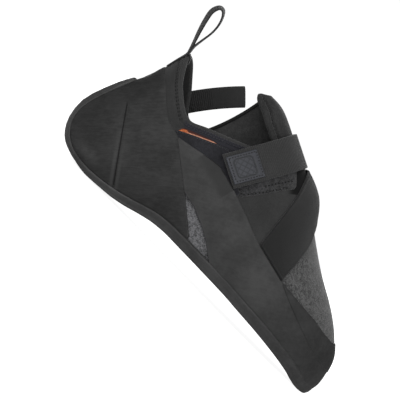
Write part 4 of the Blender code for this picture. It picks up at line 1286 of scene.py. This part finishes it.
def build_collar():
    """Cuff with a sewn groove, its rolled edge, the navy trim and the orange lining above the trim."""
    tuck = 0.014
    places = places_between(*CUFF_SPAN, 0.055)
    rand = climb_to_edge(places, HEEL_RAND_TOP) - tuck
    ease = lambda values, first, last: smooth_line(values, ((first, 0.0), (last, 1.0)))
    blend = np.where(places > 0, ease(places, 3.0, 3.2), ease(-places, 2.62, 3.17))
    foot = np.where(places > 0, np.minimum(climb_to_edge(places, CHANNEL_EDGE), CHANNEL_TOP), CUFF_FOOT)
    low = np.minimum(rand, foot) * (1 - blend) + foot * blend
    trim = np.minimum(climb_to_edge(places, TRIM_TOP), CHANNEL_TOP) - 0.004
    low = np.where(places > 0, low - ease(places, 4.22, 4.4) * (low - trim), low)
    high = np.full(len(places), 0.992)

    def groove(points, along, length, inward):
        from_top = length - along
        return -0.55 * hump(from_top, 3.6, 0.9) + 0.3 * hump(from_top, 7, 1.8)

    sheet = panel(places, low, high, SKIN_BASE, CUFF_LIFT, radius=0.9, rows=34, relief=groove)
    add_sheet("collar_cuff", sheet, CUFF_CLOTH, ("collar_band",))
    places = np.linspace(*ROLL_SPAN, 240)
    centre = wall(places, np.full(len(places), 1.0), -0.55)
    out = wall_normal(places, np.full(len(places), 0.985))
    rise = unit(np.cross(np.gradient(centre, axis=0), out))
    angle = np.linspace(0, 2 * np.pi, 14, endpoint=False)
    wide, tall = ROLL_HALF_SIZES
    rings = oval_rings(centre, out, rise, wide * np.cos(angle), tall * np.sin(angle))
    add_tube("collar_roll", rings, ROLL_CLOTH)
    places = places_between(*TRIM_SPAN, 0.04)
    low = climb_to_edge(places, TOE_RAND_TOP) - tuck
    high = np.minimum(climb_to_edge(places, TRIM_TOP), CHANNEL_TOP - 0.002)
    places, low, high = widest(places, low, high)
    sheet = panel(places, low, high, SKIN_BASE, TRIM_LIFT, radius=0.8, rows=18)
    add_sheet("quarter_trim_band", sheet, TRIM_CLOTH, ("quarter_trim",))
    places = places_between(*CHANNEL_SPAN, 0.025)
    low = climb_to_edge(places, TRIM_TOP) - tuck
    high = np.minimum(climb_to_edge(places, CHANNEL_EDGE) + 0.009, CHANNEL_TOP)
    places, low, high = widest(places, low, high)
    sheet = panel(places, low, high, CHANNEL_BASE, CHANNEL_LIFT, radius=0.3, rows=18)
    add_sheet("orange_strip", sheet, ORANGE)
    rows = []
    for distance in (3.0, 4.6):
        places = np.linspace(-3.0, 3.0, 240)
        rows.append(wall_path(places, climb_below_rim(places, distance), 1.1))
    add_stitches("collar_seam", rows, COLLAR_STITCH, DARK_THREAD)
    places = np.linspace(3.05, 4.9, 120)
    beside_trim = wall_path(places, climb_to_edge(places, TRIM_TOP) - 0.016, 1.5)
    places = np.linspace(3.15, 5.6, 150)
    beside_cuff = wall_path(places, np.full(len(places), CHANNEL_TOP + 0.013), 1.5)
    above_cuff = wall_path(places, np.full(len(places), CHANNEL_TOP + 0.032), 1.45)
    rows = [beside_trim, beside_cuff, above_cuff]
    add_stitches("channel_seam", rows, CHANNEL_STITCH, SEAM_THREAD)


def build_panels():
    """Smooth panels on both quarters, the landing pad and its sewn rows."""
    for name, span, edge in (
        ("quarter_panel", PANEL_SPAN, TOE_RAND_TOP),
        ("inner_quarter_panel", INNER_PANEL_SPAN, INNER_RAND_TOP),
    ):
        places = places_between(*span, 0.05)
        beside = rows_from_heel(places) < 3.35
        low = climb_to_edge(places, edge)
        low = np.where(beside, np.minimum(low, climb_to_edge(places, HEEL_RAND_TOP)), low) - 0.02
        high = np.full(len(places), 0.9985)
        relief = lambda points, along, length, inward: bumps(points, PANEL_CREASES)
        sheet = panel(places, low, high, PANEL_BASE, PANEL_LIFT, radius=0.5, rows=54, relief=relief)
        add_sheet(name, sheet, PANEL_CLOTH)
    places = places_between(*PAD_SPAN, 0.03)
    low = np.maximum(climb_to_edge(places, PAD_BOTTOM), climb_to_edge(places, TOE_RAND_TOP) + 0.02)
    roof = np.where(places <= 6.1, CUFF_FOOT - 0.02, 0.97)
    high = np.minimum(climb_to_edge(places, PAD_TOP), roof)
    places, low, high = widest(places, low, high)
    sheet = panel(places, low, high, PAD_BASE, PAD_LIFT, radius=0.8, rows=40)
    add_sheet("landing_pad", sheet, PILE, ("strap_pad",))
    rows = []
    for rise, first in ((0.018, 6), (0.076, len(places) // 2 - 4)):
        rows.append(wall_path(places[first:-6], (low + rise)[first:-6], 1.5))
    add_stitches("pad_seam", rows, PAD_STITCH, DARK_THREAD)


def tongue_grid(length_steps, width_steps):
    """Tongue's outer surface: two cubic curves per section, over the ridge from edge to wing.

    Near the lateral edge each line along the tongue stops short by a circle's sagitta, which rounds
    the rear corner."""
    rows = rounded_path(TONGUE_ROWS, length_steps)
    ridge = np.stack([rows[:, 0], np.zeros(len(rows)), rows[:, 1]], -1)[:, None]
    edge, wing = rows[:, None, 2:5], rows[:, None, 5:8]
    along = np.array([1.0, 0.0, 1.0])
    sideways = np.array([0.0, 1.0, 0.0])
    lateral = (edge, edge + 0.45 * (ridge - edge) * along, ridge + 0.5 * (edge - ridge) * sideways, ridge)
    swing = (7.0 * np.linspace(0, 1, length_steps) ** 3)[:, None, None] * np.array([1.0, 0.0, 0.6])
    shoulder = ridge + 0.5 * (wing - ridge) * sideways + 0.3 * swing
    medial = (ridge, shoulder, wing + 0.4 * (ridge - wing) * along + swing, wing)
    third = width_steps // 3
    near = cubic(np.linspace(0, 1, third)[None, :, None], *lateral)
    far = cubic(np.linspace(0, 1, width_steps - third + 1)[None, 1:, None], *medial)
    points = np.concatenate([near, far], 1)
    from_edge = arc_length(points[-1])
    sagitta = TONGUE_CORNER * (1 - round_edge(from_edge / TONGUE_CORNER))
    length = np.linalg.norm(np.diff(points, axis=0), axis=2).sum(0)
    where = np.linspace(0, length_steps - 1, length_steps)[:, None] * (1 - sagitta / length)
    cell = np.minimum(where.astype(int), length_steps - 2)
    share = (where - cell)[..., None]
    column = np.arange(points.shape[1])[None, :]
    return points[cell, column] * (1 - share) + points[cell + 1, column] * share


def build_tongue():
    """Padded tongue: rounded rim, a padded cuff behind a sewn groove, and a bound medial wing."""
    points = tongue_grid(120, 96)
    normal = grid_normals(points, 1.0)
    normal *= np.sign(normal[..., 2].mean())
    to_rear = to_end(points.swapaxes(0, 1)).T
    from_edge = from_start(points)
    to_wing = from_edge[:, -1:] - from_edge
    inward = np.minimum(np.minimum(to_rear, from_edge), to_wing)
    top_side = np.clip((24 - np.maximum(from_edge - 10, 0)) / 10, 0, 1)
    groove = 1.9 * hump(from_edge, TONGUE_SEAM, 0.8) * np.clip((to_rear - 1.0) / 4, 0, 1)
    roll = 1.2 * hump(from_edge, 3.4, 2.8)
    pad = 0.7 * hump(from_edge, 13.0, 4.5)
    relief = (roll - groove + pad) * top_side * np.clip(inward / 1.5, 0, 1)
    half = TONGUE_THICKNESS / 2
    swell = np.maximum(half * round_edge(inward / 1.7), 0.1)
    bulb = 2.1 * hump(from_edge, 7, 4) - 1.6 * hump(from_edge, 16, 4.5)
    bulb = bulb * hump(to_rear, 0, 5)
    rearward = unit(points[-1] - points[-4])
    middle = points - half * normal + bulb[..., None] * rearward
    sheet = {
        "outer": middle + normal * (swell + relief)[..., None],
        "inner": middle - normal * swell[..., None],
        "uv": np.stack([to_rear, from_edge], -1),
        "rim": np.exp(-inward / 0.8) * 0.6,
    }
    tongue = add_sheet("tongue_pad", sheet, TONGUE_KNIT, ("tongue",), WING_CLOTH)
    rear = middle[-1, 40:]
    out = normal[-1, 40:]
    back = np.cross(unit(np.gradient(rear, axis=0)), out)
    back *= np.sign((back * (points[-1, 40:] - points[-3, 40:])).sum(1))[:, None]
    angle = np.linspace(0, 2 * np.pi, 20, endpoint=False)
    ripple = 1 + 0.16 * np.cos(4 * angle)
    wide, tall = BINDING_HALF_SIZES
    around = wide * ripple * np.cos(angle), tall * ripple * np.sin(angle)
    rings = oval_rings(rear - 0.8 * back, back, out, *around)
    add_tube("wing_binding", rings, BINDING)
    column = np.abs(from_edge - TONGUE_SEAM).argmin(1)
    line = np.arange(30, len(points) - 6)
    seam = evened(sheet["outer"][line, column[line]], 6)
    add_stitches("tongue_seam", [(seam, normal[line, column[line]])], TONGUE_STITCH, DARK_THREAD)


def vamp_point(row, across, offset):
    """Point of the vamp by its row from the heel and its place across it, moved out by the offset."""
    lateral = across <= 0
    places = np.where(lateral, row, ROW_COUNT - row)
    return wall(places, np.minimum(1 - np.abs(across), 0.9995), offset)


def build_lower_strap():
    """Elastic band over the forefoot that stands off the ridge, with raised selvedges."""
    table = np.array(LOWER_STRAP_ROWS, float)
    across = np.linspace(table[0, 0], table[-1, 0], 170)
    rear = smooth_line(across, table[:, :2])
    front = smooth_line(across, table[:, [0, 2]])
    edge = np.array([0, 0.008, 0.022, 0.045, 0.08])
    share = np.concatenate([edge, np.linspace(0.12, 0.88, 26), 1 - edge[::-1]])
    row = rear[:, None] + (front - rear)[:, None] * share
    grid = np.repeat(across[:, None], len(share), 1)
    foot = climb_to_edge(row[0], TOE_RAND_TOP) + 0.004 - 1
    settle = np.clip((grid + 0.3) / (across[0] + 0.3), 0, 1)
    grid = grid + settle * (foot - across[0])
    bridge = hump(grid, 0, 0.22) * np.sin(np.pi * (0.06 + 0.86 * share**1.15))
    base = LOWER_STRAP_BASE + LOWER_STRAP_LIFT * bridge
    inner = vamp_point(row, grid, base)
    v = from_start(inner)
    u = arc_length(inner[:, len(share) // 2])[:, None]
    inward = np.minimum(np.minimum(v, v[:, -1:] - v), np.minimum(u, u[-1] - u))
    selvedge = 0.16 * hump(inward, 0.9, 0.6) - 0.12 * hump(inward, 2.0, 0.5)
    lift = LOWER_STRAP_THICKNESS * (0.25 + 0.75 * round_edge(inward / 0.7)) + selvedge
    sheet = {
        "outer": vamp_point(row, grid, base + lift),
        "inner": inner,
        "uv": np.stack(np.broadcast_arrays(u, v), -1),
        "rim": np.exp(-inward / 0.7) * 0.5,
    }
    add_sheet("lower_band", sheet, BAND_WEB, ("lower_strap",))


def strap_frame(count):
    """Middle line, width direction and outward direction of the closure strap."""
    rows = rounded_path(STRAP_ROWS, count)
    middle, lean = rows[:, :3], np.radians(rows[:, 3])
    width = np.stack([np.cos(lean), np.zeros_like(lean), np.sin(lean)], -1)
    return middle, width, unit(-np.cross(np.gradient(middle, axis=0), width))


def strap_grid(first, last, half_width, base, lift, count, columns):
    """Sheet on the strap between two shares of its length; lift gives its height by distance in."""
    middle, width, out = strap_frame(STRAP_SAMPLES)
    run = arc_length(middle)
    total = run[-1]
    along = line_spread((last - first) * total, count) + first * total
    centre, side, up = (at_distances(along, run, values) for values in (middle, width, out))
    across = line_spread(2 * half_width, columns)
    inward = np.minimum(np.minimum(across, 2 * half_width - across)[None, :],
                        np.minimum(along - along[0], along[-1] - along)[:, None])
    inner = centre[:, None] + (across - half_width)[None, :, None] * side[:, None] + base * up[:, None]
    height = lift(inward, (along - along[0])[:, None], across[None, :])
    return {
        "outer": inner + height[..., None] * up[:, None],
        "inner": inner,
        "uv": np.stack(np.broadcast_arrays((along - along[0])[:, None], across[None, :]), -1),
        "rim": np.exp(-inward / 0.7) * 0.6,
    }


def build_straps():
    """Ribbed closure strap, its hem, and the moulded badge with a raised frame and a sewn border."""

    def ribbed(inward, along, across):
        ribs = 0.06 * np.cos(2 * np.pi * along / STRAP_RIB_PITCH) * np.clip(inward / 1.5, 0, 1)
        selvedge = 0.12 * hump(inward, 0.8, 0.5)
        return STRAP_THICKNESS * (0.25 + 0.75 * round_edge(inward / 0.8)) + ribs + selvedge

    strap = strap_grid(0, 1, STRAP_WIDTH / 2, 0.0, ribbed, count=430, columns=20)
    add_sheet("strap_web", strap, STRAP_WEB, ("closure_strap",))
    half_pitch = BADGE_GROOVE_PITCH / 2

    def plain_mark(along, across):
        """Grip pattern: crossed diagonal grooves inside a rounded frame; below 0 in a groove."""
        x, y = np.broadcast_arrays(along - BADGE_MIDDLE, across - BADGE_HALF_WIDTH)
        far = np.abs(np.stack([x, y], -1))
        frame_edge = np.linalg.norm(np.maximum(far - 4.2, 0), axis=-1) - 2.4
        groove = hump(frame_edge, 0, 0.6)
        for slope in (1, -1):
            off = np.mod((x + slope * y) / np.sqrt(2) + half_pitch, BADGE_GROOVE_PITCH) - half_pitch
            groove = np.maximum(groove, 0.8 * hump(off, 0, 0.5) * (frame_edge < 0))
        return 0.4 * (frame_edge < 0) - 1.4 * groove

    def moulded(inward, along, across):
        border = -0.22 * hump(inward, 1.5, 0.5)
        body = BADGE_THICKNESS * (0.3 + 0.7 * round_edge(inward / 0.7))
        return body + border + 0.12 * plain_mark(along, across)

    first, last = 0.3 / 30, 5.4 / 30
    base = STRAP_THICKNESS + 0.1
    badge = strap_grid(first, last, BADGE_HALF_WIDTH, base, moulded, count=84, columns=72)
    # The grooves make the edge mask negative, where the badge paints shade.
    badge["rim"] = badge["rim"] + np.clip(plain_mark(badge["uv"][..., 0], badge["uv"][..., 1]), -1, 0)
    add_sheet("strap_badge", badge, BADGE, ("strap_patch",))
    middle, width, out = strap_frame(STRAP_SAMPLES)
    ends = np.array([first, last]) * (STRAP_SAMPLES - 1)
    lift = STRAP_THICKNESS + 0.72
    rows = []
    near, far = int(ends[0] + 9), int(ends[1] - 9)
    reach = BADGE_HALF_WIDTH - 1.5
    for side in (-1, 1):
        path = middle[near:far] + side * reach * width[near:far] + lift * out[near:far]
        rows.append((path, out[near:far]))
    for end in (near, far):
        share = np.linspace(-reach, reach, 30)[:, None]
        rows.append((middle[end] + share * width[end] + lift * out[end], np.repeat(out[end][None], 30, 0)))
    add_stitches("badge_seam", rows, BADGE_STITCH, DARK_THREAD)


def tape_rings(middle, width, half_width, thickness, ribs, ribs_end=ENDLESS):
    """Flat tape carried along a path: a rounded band as section, with ribs across its first stretch."""
    way = unit(np.gradient(middle, axis=0))
    width = unit(width - (width * way).sum(1, keepdims=True) * way)
    out = np.cross(way, width)
    run = arc_length(middle)
    angle = np.linspace(0, 2 * np.pi, 24, endpoint=False)
    flat = np.sign(np.cos(angle)) * np.abs(np.cos(angle)) ** 0.45
    thick = np.sign(np.sin(angle)) * np.abs(np.sin(angle)) ** 0.6
    fade = np.clip((ribs_end - run) / 3, 0, 1)
    swell = thickness / 2 * (1 + ribs * fade * np.cos(2 * np.pi * run / 1.3))
    rings = (middle[:, None] + half_width * flat[None, :, None] * width[:, None]
             + swell[:, None, None] * thick[None, :, None] * out[:, None])
    uv = np.stack(np.broadcast_arrays(run[:, None], half_width * flat[None, :]), -1)
    return rings, uv


def build_loops():
    """Heel pull loop with a slight twist in its rear leg, and the folded side loop."""
    path = rounded_path(HEEL_LOOP_ROWS, 260)
    middle = np.stack([path[:, 0], np.zeros(len(path)), path[:, 1]], -1)
    share = np.linspace(0, 1, len(path))
    spread = np.where(share < 0.36, 0.2, 0.13)
    twist = np.radians(17) * hump(share, 0.36, spread)
    twist += np.radians(4) * hump(share, 0.78, 0.1)
    way = unit(np.gradient(middle, axis=0))
    sideways = np.broadcast_to(np.array([0.0, 1.0, 0.0]), middle.shape)
    width = np.cos(twist)[:, None] * sideways + np.sin(twist)[:, None] * np.cross(way, sideways)
    rings, uv = tape_rings(middle, width, HEEL_LOOP_WIDTH / 2, HEEL_TAPE_THICKNESS, ribs=0.12)
    add_tube("heel_tape", rings, LOOP_WEB, uv, ("heel_loop",))
    path = rounded_path(SIDE_LOOP_ROWS, 240)
    reach = np.linspace(0, SIDE_LOOP_LENGTH, 104)
    rise = np.radians(np.interp(reach, [0, SIDE_LOOP_LENGTH], SIDE_LOOP_RISE_DEG))
    step = reach[1]
    bend_x = np.concatenate([[0], np.cumsum(np.cos(rise[1:]) * step)])
    bend_z = np.concatenate([[0], np.cumsum(np.sin(rise[1:]) * step)])
    turn = np.interp(path[:, 0], reach, rise)
    offset = [np.interp(path[:, 0], reach, bend_x), path[:, 1], np.interp(path[:, 0], reach, bend_z)]
    middle = np.array(SIDE_LOOP_FOOT) + np.stack(offset, -1)
    across = np.stack([-np.sin(turn), np.zeros_like(turn), np.cos(turn)], -1)
    half = SIDE_LOOP_WIDTH / 2
    rings, uv = tape_rings(middle, across, half, SIDE_TAPE_THICKNESS, ribs=0.16, ribs_end=SIDE_LOOP_RIBS_END)
    add_tube("side_tape", rings, TAPE_WEB, uv, ("side_loop",))
    rows = []
    length = np.array([np.cos(rise[0]), 0, np.sin(rise[0])])
    width = np.array([-np.sin(rise[0]), 0, np.cos(rise[0])])
    for step in (2.0, 7.0):
        start = np.array(SIDE_LOOP_FOOT) + step * length + np.array([0.0, 4.4, 0.0])
        share = np.linspace(-6, 6, 24)[:, None]
        rows.append((start + share * width, np.repeat([[0.0, 1.0, 0.0]], 24, 0)))
    add_stitches("side_tape_seam", rows, TAPE_STITCH, GREY_THREAD)


build_upper()
build_sole()
build_insole()
build_rands()
build_collar()
build_panels()
build_tongue()
build_lower_strap()
build_straps()
build_loops()


# Stage, light and camera.


def build_stage():
    """Pale floor that glows, white to the camera and dim on the shoe; soft light from large panels; a white
    room.
    """
    mesh = bpy.data.meshes.new("floor")
    corners = [(x * FLOOR_HALF, y * FLOOR_HALF, 0) for x, y in ((-1, -1), (1, -1), (1, 1), (-1, 1))]
    mesh.from_pydata(corners, [], [(0, 1, 2, 3)])
    floor = bpy.data.objects.new("floor", mesh)
    bpy.context.scene.collection.objects.link(floor)
    pale = bpy.data.materials.new("floor")
    pale.use_nodes = True
    tree = pale.node_tree
    shader = tree.nodes["Principled BSDF"]
    shader.inputs["Base Color"].default_value = (0.5, 0.5, 0.5, 1)
    shader.inputs["Roughness"].default_value = 0.9
    shader.inputs["Specular IOR Level"].default_value = 0.0
    # The floor's glow: white where the camera sees it, a dim grey light on the shoe from below.
    seen = node(tree, "ShaderNodeLightPath").outputs["Is Camera Ray"]
    tree.links.new(blended(tree, seen, (0.2, 0.2, 0.2, 1), (1, 1, 1, 1)), shader.inputs["Emission Color"])
    shader.inputs["Emission Strength"].default_value = 0.93
    mesh.materials.append(pale)
    world = bpy.data.worlds.new("room")
    world.use_nodes = True
    bpy.context.scene.world = world
    tree = world.node_tree
    background = tree.nodes["Background"]
    seen = node(tree, "ShaderNodeLightPath").outputs["Is Camera Ray"]
    background.inputs["Color"].default_value = (1, 1, 1, 1)
    strength = between(tree, seen, 0.0, 1.0, 0.2, 1.02)
    tree.links.new(strength, background.inputs["Strength"])
    for name, place, aim, width, power in (
        ("front_panel", (0.1, -1.5, 0.55), (0.08, 0, 0.05), 1.4, 15),
        ("toe_panel", (1.1, -0.7, 0.9), (0.1, 0, 0.06), 0.9, 6),
        ("heel_panel", (-0.9, -0.9, 0.9), (0.0, 0, 0.05), 0.9, 6),
        ("far_panel", (0.1, 1.5, 0.7), (0.08, 0, 0.05), 1.2, 16),
    ):
        light = bpy.data.lights.new(name, "AREA")
        light.size = width
        light.energy = power
        lamp = bpy.data.objects.new(name, light)
        lamp.location = place
        lamp.rotation_euler = (Vector(aim) - Vector(place)).to_track_quat("-Z", "Y").to_euler()
        bpy.context.scene.collection.objects.link(lamp)


def build_camera():
    """Camera on the lateral side, a little above level, rolled to the photograph's tilt."""
    lens = bpy.data.cameras.new("camera")
    lens.lens = CAMERA_LENS
    lens.sensor_width = SENSOR_WIDTH
    camera = bpy.data.objects.new("camera", lens)
    bpy.context.scene.collection.objects.link(camera)
    rise, roll = np.radians(CAMERA_RISE_DEG), np.radians(CAMERA_ROLL_DEG)
    level = np.array([1.0, 0.0, 0.0])
    upright = np.array([0.0, np.sin(rise), np.cos(rise)])
    forward = np.array([0.0, np.cos(rise), -np.sin(rise)])
    right = np.cos(roll) * level + np.sin(roll) * upright
    up = -np.sin(roll) * level + np.cos(roll) * upright
    away = CAMERA_SPAN * MM * CAMERA_LENS / SENSOR_WIDTH
    place = np.array(CAMERA_AIM) * MM - away * forward
    turn = Matrix(np.stack([right, up, -forward], 1).tolist()).to_4x4()
    camera.matrix_world = Matrix.Translation(Vector(place.tolist())) @ turn
    lens.clip_start, lens.clip_end = 0.05, 50.0
    bpy.context.scene.camera = camera


build_stage()
build_camera()
bpy.context.scene.view_settings.view_transform = "Standard"
